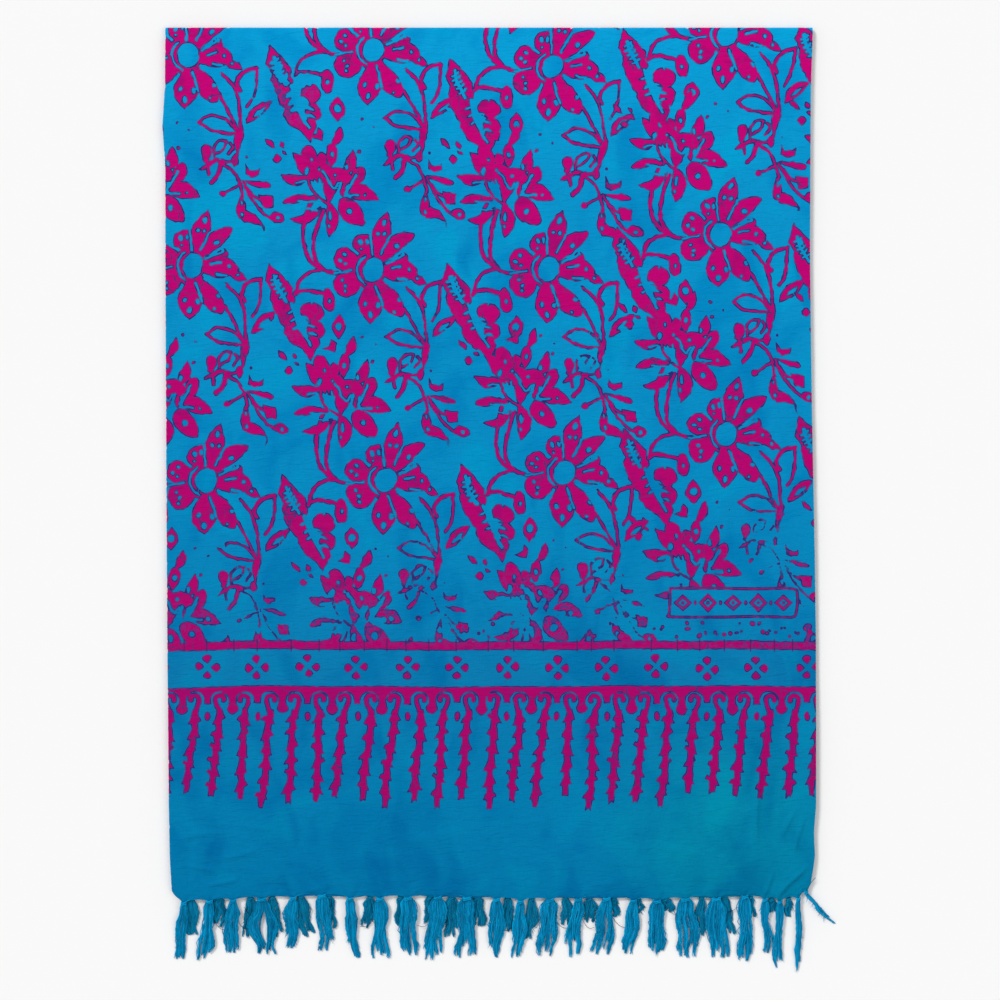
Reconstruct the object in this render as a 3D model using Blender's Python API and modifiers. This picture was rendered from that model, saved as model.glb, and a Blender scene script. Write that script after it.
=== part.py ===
"""A batik sarong folded in four and laid flat, with a knotted fringe along its hems.

The cut is one rectangle of thin plain-woven viscose. It is folded in half along its
length, with that fold at the left, and then in half across, with that fold at the top.
X runs across the folded cloth, Y from the fringe up to the top fold, and Z up from the
surface that it lies on. Everything is in metres.
"""

import math
from collections import namedtuple

import bmesh
import bpy
import numpy as np

# Driving sizes
CUT_WIDTH = 1.150  # from selvage to selvage
CUT_LENGTH = 1.550  # from hem to hem, without the fringe
FRINGE = 0.062  # the longest tassel, below the lowest point of the hem
WALL = 0.0010  # one layer, with the air that lies under it
GAP = 0.0003  # between pieces that touch
STACK = 0.0048  # the four layers, resting on each other

# Worked out from the driving sizes
HALF_WIDTH = CUT_WIDTH / 4
FOLDED_LENGTH = CUT_LENGTH / 2
TOP_Y = (FOLDED_LENGTH + FRINGE) / 2
HEM_Y = TOP_Y - FOLDED_LENGTH
MIDDLE_Z = STACK / 2
FOLD_RADIUS = (STACK - WALL) / 2  # of the wall's middle, round the top fold
FOLD_Y = TOP_Y - WALL / 2 - FOLD_RADIUS  # where the layers start to turn over
CURL_RADIUS = FOLD_RADIUS - GAP / 2  # of the wall's middle, down the left fold

# How far each side stands out from the straight width, at heights above the hem, in mm
Side = namedtuple("Side", "up left right")
SIDES = (
    Side(0, -5.5, -3.5),
    Side(16, -5.0, -2.5),
    Side(42, -3.9, 0.0),
    Side(62, -3.5, -0.9),
    Side(87, -3.1, 0.9),
    Side(228, -1.8, 0.9),
    Side(300, -1.3, 0.0),
    Side(440, -0.6, -2.7),
    Side(575, 0.0, -4.4),
    Side(650, 0.0, -4.0),
    Side(688, 2.6, -3.8),
    Side(722, 0.4, -3.5),
    Side(775, 0.0, -1.8),
)

# The front fringe in mm: each knot's place and height above the hem, how far its
# tassel leans to the right on the way down, and the tassel's length and width
Tassel = namedtuple("Tassel", "x rise lean length width")
FRONT_TASSELS = (
    Tassel(-271.2, 0.0, -4.4, 50.4, 8.0),
    Tassel(-248.4, 1.3, -5.3, 52.4, 9.0),
    Tassel(-227.5, 2.0, -2.6, 46.8, 10.0),
    Tassel(-201.8, 3.3, 1.4, 49.3, 14.0),
    Tassel(-174.4, 4.4, -4.4, 45.1, 9.0),
    Tassel(-148.7, 6.5, 4.4, 49.8, 11.0),
    Tassel(-123.9, 3.9, 4.4, 53.1, 9.0),
    Tassel(-97.4, 3.9, 1.2, 53.7, 10.0),
    Tassel(-72.7, 4.4, 1.8, 51.2, 13.0),
    Tassel(-46.1, 5.0, -4.4, 56.3, 13.0),
    Tassel(-20.4, 4.4, -1.8, 53.7, 14.0),
    Tassel(5.7, 3.2, -0.6, 52.5, 11.0),
    Tassel(27.2, 1.2, -4.4, 50.5, 9.0),
    Tassel(53.1, 2.7, -5.3, 50.4, 13.0),
    Tassel(78.4, 3.2, -6.7, 51.9, 11.0),
    Tassel(103.5, 3.8, -5.0, 50.3, 11.0),
    Tassel(127.1, 2.0, -5.8, 48.1, 11.0),
    Tassel(147.8, 1.4, -1.2, 48.7, 13.0),
    Tassel(173.2, 3.3, 2.7, 52.8, 16.0),
    Tassel(200.4, 3.9, 1.8, 53.1, 16.0),
    Tassel(225.7, 5.8, 1.2, 58.1, 10.0),
    Tassel(243.4, 3.3, 3.5, 48.4, 6.0),
    Tassel(256.7, 1.4, -2.7, 59.5, 6.0),
    Tassel(273.1, 3.9, 0.0, 65.8, 4.0),
    Tassel(280.0, 9.7, 26.5, 28.3, 3.5),
)

# The tassels of the layers behind, in mm, which lie between those of the front
BACK_TASSELS = (
    Tassel(-264.6, 3.0, 1.0, 32.0, 9.0),
    Tassel(-239.8, 4.0, -2.0, 26.0, 12.0),
    Tassel(-212.4, 4.5, -2.0, 36.0, 8.0),
    Tassel(-192.9, 4.5, 4.0, 36.0, 8.0),
    Tassel(-167.3, 5.0, 7.0, 36.0, 9.0),
    Tassel(-142.5, 5.0, 0.0, 28.0, 8.0),
    Tassel(-106.2, 5.0, -3.0, 28.0, 9.0),
    Tassel(-78.8, 5.0, 0.0, 26.0, 8.0),
    Tassel(-53.1, 5.0, -1.0, 24.0, 8.0),
    Tassel(-33.6, 5.0, -2.0, 36.0, 10.0),
    Tassel(-10.6, 4.5, 0.0, 26.0, 10.0),
    Tassel(15.9, 4.0, 0.0, 30.0, 8.0),
    Tassel(37.2, 3.5, -2.0, 36.0, 8.0),
    Tassel(67.3, 4.0, 1.0, 24.0, 8.0),
    Tassel(88.5, 4.0, 0.0, 22.0, 8.0),
    Tassel(109.7, 4.0, 0.0, 18.0, 8.0),
    Tassel(131.0, 4.0, 0.0, 14.0, 7.0),
    Tassel(155.8, 3.5, 0.0, 12.0, 11.0),
    Tassel(187.6, 4.5, 0.0, 34.0, 7.0),
    Tassel(208.0, 5.0, 2.0, 34.0, 9.0),
    Tassel(231.0, 5.0, 1.0, 18.0, 6.0),
    Tassel(249.6, 3.0, 0.0, 12.0, 7.0),
    Tassel(264.6, 3.0, 0.0, 16.0, 5.0),
)
SCALLOP = 2.2  # mm that the hem arches up between two knots

# Where the hem turns up at the two lower corners, in mm
Corner = namedtuple("Corner", "x rise")
LEFT_CORNER = (Corner(-283.0, 14.0), Corner(-281.0, 8.0), Corner(-277.0, 4.5))
RIGHT_CORNER = (Corner(284.0, 17.0),)

# The largest creases of the front layer, in mm: the middle of each, its heading in
# degrees from +X, its length and width, and how high it stands
Crease = namedtuple("Crease", "x y heading length width height")
CREASES = (
    Crease(273.0, -275.0, 88.0, 110.0, 9.0, 0.5),
    Crease(266.0, -333.0, 55.0, 46.0, 7.0, 0.7),
    Crease(236.0, -290.0, 86.0, 90.0, 7.0, 0.4),
)

# A tassel's sections: how far down, its share of the width, and its half thickness in mm
Section = namedtuple("Section", "down width half_thickness")
SECTIONS = (
    Section(0.00, 0.35, 0.75),
    Section(0.08, 0.60, 1.05),
    Section(0.20, 0.48, 0.90),
    Section(0.62, 0.95, 0.60),
    Section(1.00, 0.80, 0.30),
)
FRONT_HEIGHTS = (3.70, 3.65, 3.55, 3.10, 0.40)  # mm, of each section's middle
BACK_HEIGHTS = (1.10, 1.10, 0.95, 0.65, 0.35)
SIDES_OF_A_TASSEL = 6

# Rows of the sheet up from the hem, in metres, closest where the hem is scalloped
ROWS_UP = (0.0, 0.005, 0.014, 0.040, 0.075, 0.12, 0.19, 0.30, 0.44, 0.60, 0.69)
SCALLOP_REACH = 0.040  # how far up the hem's scallops spread before the rows run straight
FOLD_STEPS = 6
CURL_STEPS = 3


def material_for(name, colour, roughness):
    material = bpy.data.materials.new(name)
    material.use_nodes = True
    shader = material.node_tree.nodes["Principled BSDF"]
    shader.inputs["Base Color"].default_value = (*colour, 1.0)
    shader.inputs["Roughness"].default_value = roughness
    shader.inputs["Metallic"].default_value = 0.0
    return material


def side_x(up, side):
    """X of the left or right side of the folded cloth, at a height above the hem."""
    heights = [row.up / 1000 for row in SIDES]
    out = float(np.interp(up, heights, [getattr(row, side) / 1000 for row in SIDES]))
    return -HALF_WIDTH - out if side == "left" else HALF_WIDTH + out


def hem_line(tassels):
    """(x, rise) along the hem: lowest at each knot and arched between two of them."""
    line = [(corner.x, corner.rise) for corner in LEFT_CORNER]
    for tassel, following in zip(tassels, tassels[1:]):
        line.append((tassel.x, tassel.rise))
        arch = (tassel.rise + following.rise) / 2 + SCALLOP
        line.append(((tassel.x + following.x) / 2, arch))
    line.append((tassels[-1].x, tassels[-1].rise))
    line += [(corner.x, corner.rise) for corner in RIGHT_CORNER]
    return [(x / 1000, rise / 1000) for x, rise in line]


def rise_at(x, line):
    return float(np.interp(x, [point[0] for point in line], [point[1] for point in line]))


def crease_height(x, y):
    """How far the front layer stands up over its creases, which taper to their ends."""
    height = 0.0
    for crease in CREASES:
        heading = math.radians(crease.heading)
        from_x = x - crease.x / 1000
        from_y = y - crease.y / 1000
        along = from_x * math.cos(heading) + from_y * math.sin(heading)
        across = from_y * math.cos(heading) - from_x * math.sin(heading)
        taper = max(0.0, 1 - (2000 * along / crease.length) ** 2)
        height += crease.height / 1000 * taper * math.exp(-((1000 * across / crease.width) ** 2))
    return height


def object_from(bm, name, material, collection):
    mesh = bpy.data.meshes.new(name)
    bmesh.ops.recalc_face_normals(bm, faces=bm.faces)
    bm.to_mesh(mesh)
    bm.free()
    mesh.materials.append(material)
    mesh.shade_smooth()
    mesh.set_sharp_from_angle(angle=math.radians(40))
    made = bpy.data.objects.new(name, mesh)
    collection.objects.link(made)
    return made


def grid_between(columns, rows, place):
    """A grid with one vertex for each column and row, each put where place says."""
    bm = bmesh.new()
    bmesh.ops.create_grid(
        bm, x_segments=len(columns) - 1, y_segments=len(rows) - 1, size=1.0
    )
    for vert in bm.verts:
        column = columns[round((vert.co.x + 1) / 2 * (len(columns) - 1))]
        row = rows[round((vert.co.y + 1) / 2 * (len(rows) - 1))]
        vert.co = place(column, row)
    return bm


def outer_cloth(collection, material):
    """The layer that shows: up the front, round the top fold and down the underside."""
    Column = namedtuple("Column", "curl x")
    Row = namedtuple("Row", "up turn")
    columns = [Column(math.pi / 2 * (1 - i / CURL_STEPS), None) for i in range(CURL_STEPS)]
    columns.append(Column(0.0, None))
    columns.append(Column(0.0, LEFT_CORNER[-1].x / 1000))
    inner = [point[0] for point in hem_line(FRONT_TASSELS)]
    columns += [Column(0.0, x) for x in inner[len(LEFT_CORNER) : -len(RIGHT_CORNER)]]
    columns.append(Column(0.0, math.inf))
    straight = FOLD_Y - HEM_Y
    rows = [Row(up, 0.0) for up in ROWS_UP]
    rows += [Row(straight, math.pi * i / FOLD_STEPS) for i in range(FOLD_STEPS + 1)]
    rows += [Row(up, math.pi) for up in reversed(ROWS_UP)]
    hems = {False: hem_line(FRONT_TASSELS), True: hem_line(BACK_TASSELS)}

    def place(column, row):
        inset = 0.0
        if column.x is None:
            around = CURL_RADIUS * (1 - math.sin(column.curl))
            x = side_x(row.up, "left") + WALL / 2 + around
            inset = CURL_RADIUS * (1 - math.cos(column.curl))
        elif column.x == math.inf:
            x = side_x(row.up, "right")
        else:
            x = column.x
        under = row.turn > math.pi / 2
        rise = rise_at(x, hems[under]) * max(0.0, 1 - row.up / SCALLOP_REACH)
        radius = FOLD_RADIUS - inset
        y = HEM_Y + row.up + rise + radius * math.sin(row.turn)
        z = MIDDLE_Z + radius * math.cos(row.turn)
        if row.turn == 0.0:
            z += crease_height(x, y)
        return x, y, z

    bm = grid_between(columns, rows, place)
    cloth = object_from(bm, "outer_cloth", material, collection)
    wall = cloth.modifiers.new("wall", "SOLIDIFY")
    wall.thickness = WALL
    wall.offset = 0.0
    return cloth


def hidden_layers(collection, material):
    """The two layers inside the fold as one rounded solid, parted at its free edges."""
    clear = WALL + GAP
    thickness = STACK - 2 * clear
    rounding = thickness / 2
    hem_rise = 0.011
    right_inset = 0.0015
    part_depth = 0.004
    lip = thickness * 0.36
    low_y = HEM_Y + hem_rise
    high_y = TOP_Y - clear
    across = 13
    ups = (0.0, 0.02, 0.05, 0.11, 0.2, 0.32, 0.46, 0.6, 0.66, 0.72, high_y - low_y)

    def place(share, up):
        left = side_x(up + hem_rise, "left") + clear
        right = side_x(up + hem_rise, "right") - right_inset
        corner = 0.006 * max(0.0, 1 - up / 0.02)
        left += corner
        right -= 2 * corner
        return left + share * (right - left), low_y + up, MIDDLE_Z - thickness / 2

    columns = [i / across for i in range(across + 1)]
    bm = grid_between(columns, ups, place)
    floor = list(bm.faces)
    raised = bmesh.ops.extrude_face_region(bm, geom=floor)["geom"]
    tops = [item for item in raised if isinstance(item, bmesh.types.BMVert)]
    bmesh.ops.translate(bm, verts=tops, vec=(0.0, 0.0, thickness))
    bmesh.ops.recalc_face_normals(bm, faces=bm.faces)
    bm.normal_update()
    walls = [face for face in bm.faces if abs(face.normal.z) < 0.5]
    free = [face for face in walls if face.normal.x > 0.5 or face.normal.y < -0.5]
    bmesh.ops.inset_region(bm, faces=free, thickness=lip, use_boundary=True)
    parted = {vert for face in free for vert in face.verts}
    for vert in parted:
        out = sum((face.normal for face in vert.link_faces if face in free), vert.normal * 0)
        vert.co -= out.normalized() * part_depth
    folded = [
        edge
        for edge in bm.edges
        if abs(edge.calc_face_angle(0.0) - math.pi / 2) < 0.1
        and all(face.normal.z**2 > 0.5 or face in walls for face in edge.link_faces)
        and not any(face in free for face in edge.link_faces)
        and any(face.normal.x < -0.5 or face.normal.y > 0.5 for face in edge.link_faces)
    ]
    bmesh.ops.bevel(
        bm, geom=folded, offset=rounding * 0.9, segments=3, profile=0.5, affect="EDGES"
    )
    return object_from(bm, "hidden_layers", material, collection)


def tassel(name, shape, heights, collection, material):
    """A flattened bundle of yarn, thick at its knot and spread at its cut ends."""
    bm = bmesh.new()
    rings = []
    top_y = HEM_Y + shape.rise / 1000 - GAP
    run = math.hypot(shape.lean, shape.length)
    for section, height in zip(SECTIONS, heights):
        ring = []
        lean = shape.lean / 1000 * section.down ** 1.3
        middle_x = shape.x / 1000 + lean
        middle_y = top_y - shape.length / 1000 * section.down
        half_width = shape.width / 2000 * section.width
        for i in range(SIDES_OF_A_TASSEL):
            angle = 2 * math.pi * i / SIDES_OF_A_TASSEL
            out = half_width * math.cos(angle)
            x = middle_x + out * shape.length / run
            y = middle_y + out * shape.lean / run * min(1.0, 3 * section.down)
            z = (height + section.half_thickness * math.sin(angle)) / 1000
            ring.append(bm.verts.new((x, y, z)))
        rings.append(ring)
    for upper, lower in zip(rings, rings[1:]):
        for i in range(SIDES_OF_A_TASSEL):
            j = (i + 1) % SIDES_OF_A_TASSEL
            bm.faces.new((upper[i], upper[j], lower[j], lower[i]))
    bm.faces.new(rings[0])
    bm.faces.new(rings[-1])
    return object_from(bm, name, material, collection)


def build():
    for old in list(bpy.data.objects):
        bpy.data.objects.remove(old, do_unlink=True)
    collection = bpy.data.collections.new("batik_sarong")
    bpy.context.scene.collection.children.link(collection)
    printed = material_for("printed_viscose", (0.0, 0.26, 0.55), 0.75)
    inside = material_for("inner_viscose", (0.0, 0.20, 0.45), 0.8)
    front_yarn = material_for("fringe_yarn", (0.0, 0.22, 0.50), 0.8)
    back_yarn = material_for("shaded_fringe_yarn", (0.0, 0.15, 0.33), 0.85)
    outer_cloth(collection, printed)
    hidden_layers(collection, inside)
    for number, shape in enumerate(FRONT_TASSELS, start=1):
        tassel(f"tassel_front_{number:02d}", shape, FRONT_HEIGHTS, collection, front_yarn)
    for number, shape in enumerate(BACK_TASSELS, start=1):
        tassel(f"tassel_back_{number:02d}", shape, BACK_HEIGHTS, collection, back_yarn)


build()
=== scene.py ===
import math
import random
from collections import namedtuple

import bpy
import numpy as np
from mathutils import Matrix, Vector, geometry


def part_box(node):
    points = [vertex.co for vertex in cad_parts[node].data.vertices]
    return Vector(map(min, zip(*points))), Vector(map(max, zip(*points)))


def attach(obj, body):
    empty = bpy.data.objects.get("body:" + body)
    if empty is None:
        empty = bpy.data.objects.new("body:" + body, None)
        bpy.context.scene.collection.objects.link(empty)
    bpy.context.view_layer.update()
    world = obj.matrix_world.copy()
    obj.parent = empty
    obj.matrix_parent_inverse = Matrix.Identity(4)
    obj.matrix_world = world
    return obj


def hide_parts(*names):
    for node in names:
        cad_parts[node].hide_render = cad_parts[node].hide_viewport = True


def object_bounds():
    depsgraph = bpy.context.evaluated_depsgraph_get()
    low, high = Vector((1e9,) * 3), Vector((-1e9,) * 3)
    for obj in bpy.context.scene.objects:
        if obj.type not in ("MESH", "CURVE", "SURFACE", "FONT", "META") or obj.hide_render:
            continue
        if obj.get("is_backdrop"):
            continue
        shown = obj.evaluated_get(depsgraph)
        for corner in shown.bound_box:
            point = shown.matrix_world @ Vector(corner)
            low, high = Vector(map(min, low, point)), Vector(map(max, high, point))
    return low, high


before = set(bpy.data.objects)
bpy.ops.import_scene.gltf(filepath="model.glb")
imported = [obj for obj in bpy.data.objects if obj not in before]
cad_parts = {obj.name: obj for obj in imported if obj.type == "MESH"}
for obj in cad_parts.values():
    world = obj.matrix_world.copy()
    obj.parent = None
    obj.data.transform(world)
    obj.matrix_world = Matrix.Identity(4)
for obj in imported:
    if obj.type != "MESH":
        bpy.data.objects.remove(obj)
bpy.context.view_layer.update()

cloth_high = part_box("outer_cloth")[1]


# ---------------------------------------------------------------------------
# The carved blocks of the wax print. The printer's blocks are copper strips and
# felt, stamped by hand in hot wax, so each motif is a flat shape with slits and
# eyes left open. A block is held as a depth in millimetres inside its edge.
# ---------------------------------------------------------------------------
BLOCK_STEP = 0.5  # mm between the points at which a depth is held
BLOCK_REACH = 3.0  # mm, the most that a depth can be outside an edge


def smooth_line(points, steps=7):
    """A Catmull-Rom curve through the points."""
    given = np.array(points, float)
    ends = np.vstack([2 * given[0] - given[1], given, 2 * given[-1] - given[-2]])
    curve = []
    for before, start, end, after in zip(ends, ends[1:], ends[2:], ends[3:]):
        for t in np.linspace(0, 1, steps, endpoint=False):
            curve.append(
                0.5 * (2 * start + (end - before) * t
                       + (2 * before - 5 * start + 4 * end - after) * t ** 2
                       + (3 * start - before - 3 * end + after) * t ** 3)
            )
    curve.append(given[-1])
    return np.array(curve)


def distance(x, y, starts, ends):
    """How far points are from the nearest of these straight edges."""
    nearest = np.full(x.shape, 1e9)
    for (ax, ay), (bx, by) in zip(starts, ends):
        run, climb = bx - ax, by - ay
        t = np.clip(((x - ax) * run + (y - ay) * climb) / (run**2 + climb**2 + 1e-9), 0, 1)
        nearest = np.minimum(nearest, (x - ax - t * run) ** 2 + (y - ay - t * climb) ** 2)
    return np.sqrt(nearest)


class Block:
    """A printing block's face, as depths inside its printing edge, in millimetres."""

    def __init__(self, left, right, low, high):
        self.left = left
        self.low = low
        columns = round((right - left) / BLOCK_STEP) + 1
        rows = round((high - low) / BLOCK_STEP) + 1
        self.depth = np.full((rows, columns), -BLOCK_REACH, np.float32)

    def window(self, left, right, low, high):
        """The part of the face within these limits, and its points."""
        rows, columns = self.depth.shape
        first = max(0, int((left - self.left) / BLOCK_STEP))
        last = min(columns, int((right - self.left) / BLOCK_STEP) + 2)
        bottom = max(0, int((low - self.low) / BLOCK_STEP))
        top = min(rows, int((high - self.low) / BLOCK_STEP) + 2)
        part = (slice(bottom, max(bottom, top)), slice(first, max(first, last)))
        x = self.left + BLOCK_STEP * np.arange(first, max(first, last))
        y = self.low + BLOCK_STEP * np.arange(bottom, max(bottom, top))
        return part, *np.meshgrid(x, y)

    def lay(self, part, depth, open_up):
        """Adds a shape to the printing face, or cuts it out."""
        face = self.depth[part]
        self.depth[part] = np.minimum(face, -depth) if open_up else np.maximum(face, depth)

    def outline(self, points, open_up=False):
        """A closed shape with straight sides."""
        points = np.array(points, float)
        low, high = points.min(axis=0) - BLOCK_REACH, points.max(axis=0) + BLOCK_REACH
        part, x, y = self.window(low[0], high[0], low[1], high[1])
        following = np.roll(points, -1, axis=0)
        inside = np.zeros(x.shape, bool)
        for (ax, ay), (bx, by) in zip(points, following):
            if by != ay:
                inside ^= ((ay > y) != (by > y)) & (x < (y - ay) * (bx - ax) / (by - ay) + ax)
        self.lay(part, np.where(inside, 1, -1) * distance(x, y, points, following), open_up)

    def line(self, points, width, open_up=False):
        """A smooth line with round ends. A slit of less than no width is only scored."""
        path = smooth_line(points)
        low, high = path.min(axis=0), path.max(axis=0)
        around = BLOCK_REACH + width / 2
        part, x, y = self.window(
            low[0] - around, high[0] + around, low[1] - around, high[1] + around
        )
        self.lay(part, width / 2 - distance(x, y, path, path[1:]), open_up)

    def blade(self, x0, y0, x1, y1, width, bow=0.0, belly=1.0, sharp=0.75, open_up=False):
        """A petal or leaf from its foot to its tip. Belly over 1 widens it towards the
        tip, sharp under 0.5 makes its ends blunt, and bow bends it to the left."""
        t = (1 - np.cos(np.linspace(0, np.pi, 17))) / 2
        run, climb = x1 - x0, y1 - y0
        length = math.hypot(run, climb)
        side = np.array([-climb, run]) / length
        spine = np.outer(1 - t, (x0, y0)) + np.outer(t, (x1, y1))
        spine += np.outer(4 * t * (1 - t) * bow, side)
        half = width / 2 * np.maximum(np.sin(np.pi * t**belly), 0) ** sharp
        left = spine + half[:, None] * side
        right = spine - half[:, None] * side
        self.outline(np.vstack([left, right[-2:0:-1]]), open_up)

    def eye(self, x, y, size, tall=1.0, turn=0.0, open_up=True):
        """A small round or oval opening."""
        angles = np.radians(np.linspace(0, 360, 9 + round(2 * size), endpoint=False))
        across, up = size * np.cos(angles), size * tall * np.sin(angles)
        cos, sin = math.cos(math.radians(turn)), math.sin(math.radians(turn))
        points = np.column_stack([x + across * cos - up * sin, y + across * sin + up * cos])
        self.outline(points, open_up)

    def depth_at(self, x, y):
        """The depth at any points, read between those of the face."""
        rows, columns = self.depth.shape
        across = np.clip((x - self.left) / BLOCK_STEP, 0, columns - 1.001)
        up = np.clip((y - self.low) / BLOCK_STEP, 0, rows - 1.001)
        column, row = across.astype(int), up.astype(int)
        s, t = across - column, up - row
        face = self.depth
        lower = face[row, column] * (1 - s) + face[row, column + 1] * s
        upper = face[row + 1, column] * (1 - s) + face[row + 1, column + 1] * s
        return lower * (1 - t) + upper * t


def polar(angle, reach):
    """The point at this angle and this far from a motif's middle."""
    return reach * math.cos(math.radians(angle)), reach * math.sin(math.radians(angle))


def flower(block):
    """The open flower: eight petals of unlike size round an oval eye."""
    Petal = namedtuple("Petal", "angle reach width bow belly sharp")
    petals = (
        Petal(105, 32, 21, 0, 1.9, 0.36),
        Petal(75, 53, 17, 0, 1.25, 1.05),
        Petal(41, 49, 15, 3.5, 1.15, 0.62),
        Petal(-4, 42, 20, 1, 1.2, 0.62),
        Petal(-57, 50, 17, -1, 1.6, 0.60),
        Petal(-92, 48, 22, 0, 1.45, 1.0),
        Petal(-149, 37, 23, 0, 1.9, 0.40),
        Petal(160, 35, 21, 0, 1.8, 0.42),
    )
    for petal in petals:
        x0, y0 = polar(petal.angle, 3)
        x1, y1 = polar(petal.angle, petal.reach)
        block.blade(x0, y0, x1, y1, petal.width, petal.bow, petal.belly, petal.sharp)
    block.eye(0, 0, 12.8, 1.0, open_up=False)
    block.blade(33, -4, 49, -13, 8)
    block.blade(24, 12, 33, 8, 9)
    block.blade(6, 34, 9, 22, 6)
    for angle, near, far, width in (
        (90, 13, 34, 2.6), (58, 16, 34, 2.4), (20, 14, 30, 2.6), (-76, 15, 33, 2.6),
        (-119, 14, 31, 3.0), (133, 14, 31, 3.0), (184, 17, 33, 2.2), (-33, 18, 34, 2.8),
        (-19, 24, 33, 2.6), (-44, 16, 24, 2.0), (2, 18, 27, 2.4),
    ):
        block.line([polar(angle, near), polar(angle + 3, far)], width, open_up=True)
    Eye = namedtuple("Eye", "angle reach size tall")
    for eye in (
        Eye(113, 26, 2.1, 1.4), Eye(100, 25, 1.8, 1.6), Eye(119, 20, 1.4, 1.0),
        Eye(75, 43, 2.1, 1.7), Eye(70, 33, 1.9, 1.1), Eye(80, 32, 1.9, 1.0),
        Eye(42, 30, 2.4, 1.1), Eye(24, 31, 2.2, 0.8), Eye(-1, 34, 1.9, 0.9),
        Eye(-11, 42, 1.7, 0.9), Eye(-48, 36, 1.9, 1.2), Eye(-62, 43, 1.5, 1.0),
        Eye(-101, 31, 1.9, 1.3), Eye(-80, 32, 2.1, 1.4), Eye(-92, 40, 2.2, 1.5),
        Eye(-147, 27, 1.7, 1.2), Eye(-159, 27, 1.6, 1.0), Eye(-140, 30, 1.8, 0.9),
        Eye(165, 29, 1.9, 1.2), Eye(170, 24, 1.6, 1.1), Eye(152, 27, 1.7, 1.3),
    ):
        block.eye(*polar(eye.angle, eye.reach), eye.size, eye.tall, eye.angle - 90)
    block.line([polar(angle, 13.2) for angle in (120, 150, 180, 210, 238)], 2.4, open_up=True)
    block.line([polar(angle, 15.8) for angle in (112, 145, 180, 215, 246)], 2.6)
    block.eye(1.2, 0, 9.4, 1.17, -18)


def stems(block):
    """The flower's own stems, with two open leaves and a hooked one."""
    block.line([(31, -16), (41, -27), (47, -45), (49.5, -72)], 3.0)
    block.line([(29, -35), (37, -49), (44, -62), (49, -72)], 2.8)
    block.blade(50.5, -62, 45, -88, 7, bow=-1.5, belly=0.8, sharp=0.9)
    block.line([(47, -69), (37, -58), (23, -54), (12, -60)], 2.5)
    block.line([(12, -60), (22, -66.5), (35, -69), (47, -70)], 2.7)
    block.line([(47, -32), (44.5, -25), (50, -15.5), (61.5, -12)], 3.6)
    block.line([(61.5, -12), (61, -27), (58.5, -38), (54, -46)], 2.9)
    block.blade(54, -61, 76, -41, 10.5, bow=1.5, sharp=0.8)
    block.blade(60, -55.5, 70, -46.5, 3.4, open_up=True)
    block.line([(-15, -3), (-29, -4), (-46, 1), (-57, 12), (-60.5, 30), (-57, 49), (-52, 63)], 3.4)
    block.line([(-43, 0), (-50, 9), (-51.5, 22), (-49, 37), (-44, 52)], 3.4)
    block.line([(-44, 0), (-56, -3), (-64, -10), (-67.5, -22)], 3.2)


def feathered_leaf(block):
    """The large leaf, lobed down both sides, with its feathered vein left open."""
    block.outline([(-91, 6), (-82, -3), (-70, -16), (-70, -27), (-78, -30), (-82, -44), (-87, -38),
                   (-91, -25), (-90, -19), (-95, -11), (-92.5, -2)])
    block.outline([(-89, -24), (-77, -27), (-70, -32), (-67, -50), (-72, -56), (-81, -48), (-86, -38)])
    block.outline([(-77, -47), (-68, -46), (-61, -58), (-47, -66), (-54, -82), (-61, -72),
                   (-72, -65), (-78, -56)])
    Lobe = namedtuple("Lobe", "x y wide tall turn")
    for lobe in (
        Lobe(-53.5, -38, 10.0, 0.88, -12), Lobe(-50.5, -54, 7.2, 1.15, 15), Lobe(-53, -66, 5.6, 1.2, 0),
        Lobe(-88, -14, 4.6, 1.5, 12), Lobe(-77, -17, 5.2, 1.7, 30), Lobe(-71, -27, 3.2, 1.4, 0),
    ):
        block.eye(lobe.x, lobe.y, lobe.wide, lobe.tall, lobe.turn, open_up=False)
    upper = [(-87, -6), (-85, -14), (-81, -21), (-76, -29)]
    lower = [(-71, -31), (-68.5, -39), (-65, -48), (-61, -56), (-54, -68)]
    block.line(upper, 3.4, open_up=True)
    block.line(lower, 2.8, open_up=True)
    for x, y in smooth_line(upper, 2)[1:-1]:
        block.blade(x, y, x - 5.0, y - 1.5, 2.6, open_up=True)
        block.blade(x, y, x + 3.6, y + 4.6, 2.8, open_up=True)
    for x, y, left, right in ((-69, -37, 6.5, 0), (-66.5, -44, 6.0, 0), (-64.5, -50, 5.5, 0),
                              (-67, -45, 0, 12), (-62, -52, 0, 12), (-58, -59, 0, 9)):
        if left:
            block.blade(x, y, x - left, y - 2.8, 2.6, open_up=True)
        else:
            block.blade(x, y + 1.5, x + right, y - 0.6, 2.6, bow=1.5, open_up=True)
    block.line([(-68, -22), (-62, -18.5), (-50, -20), (-40, -22.5)], 3.6)
    block.line([(-63, -24.5), (-52, -26.5), (-44, -26)], 2.6, open_up=True)
    block.blade(-60, -23, -54, -20.5, 2.2, open_up=True)
    block.blade(-54, -27, -53, -31.5, 2.2, open_up=True)
    block.blade(-39.5, -17, -37.5, -37.5, 11, belly=1.15, sharp=0.35)
    block.eye(-38, -28, 1.6, 1.2)
    block.blade(-29.5, -40.5, -29.5, -62, 13, sharp=0.95)
    block.eye(-29.5, -51, 3.2, 1.15)
    block.eye(-8, -60, 1.3, open_up=False)
    block.eye(3, -67, 0.8, open_up=False)


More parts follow.
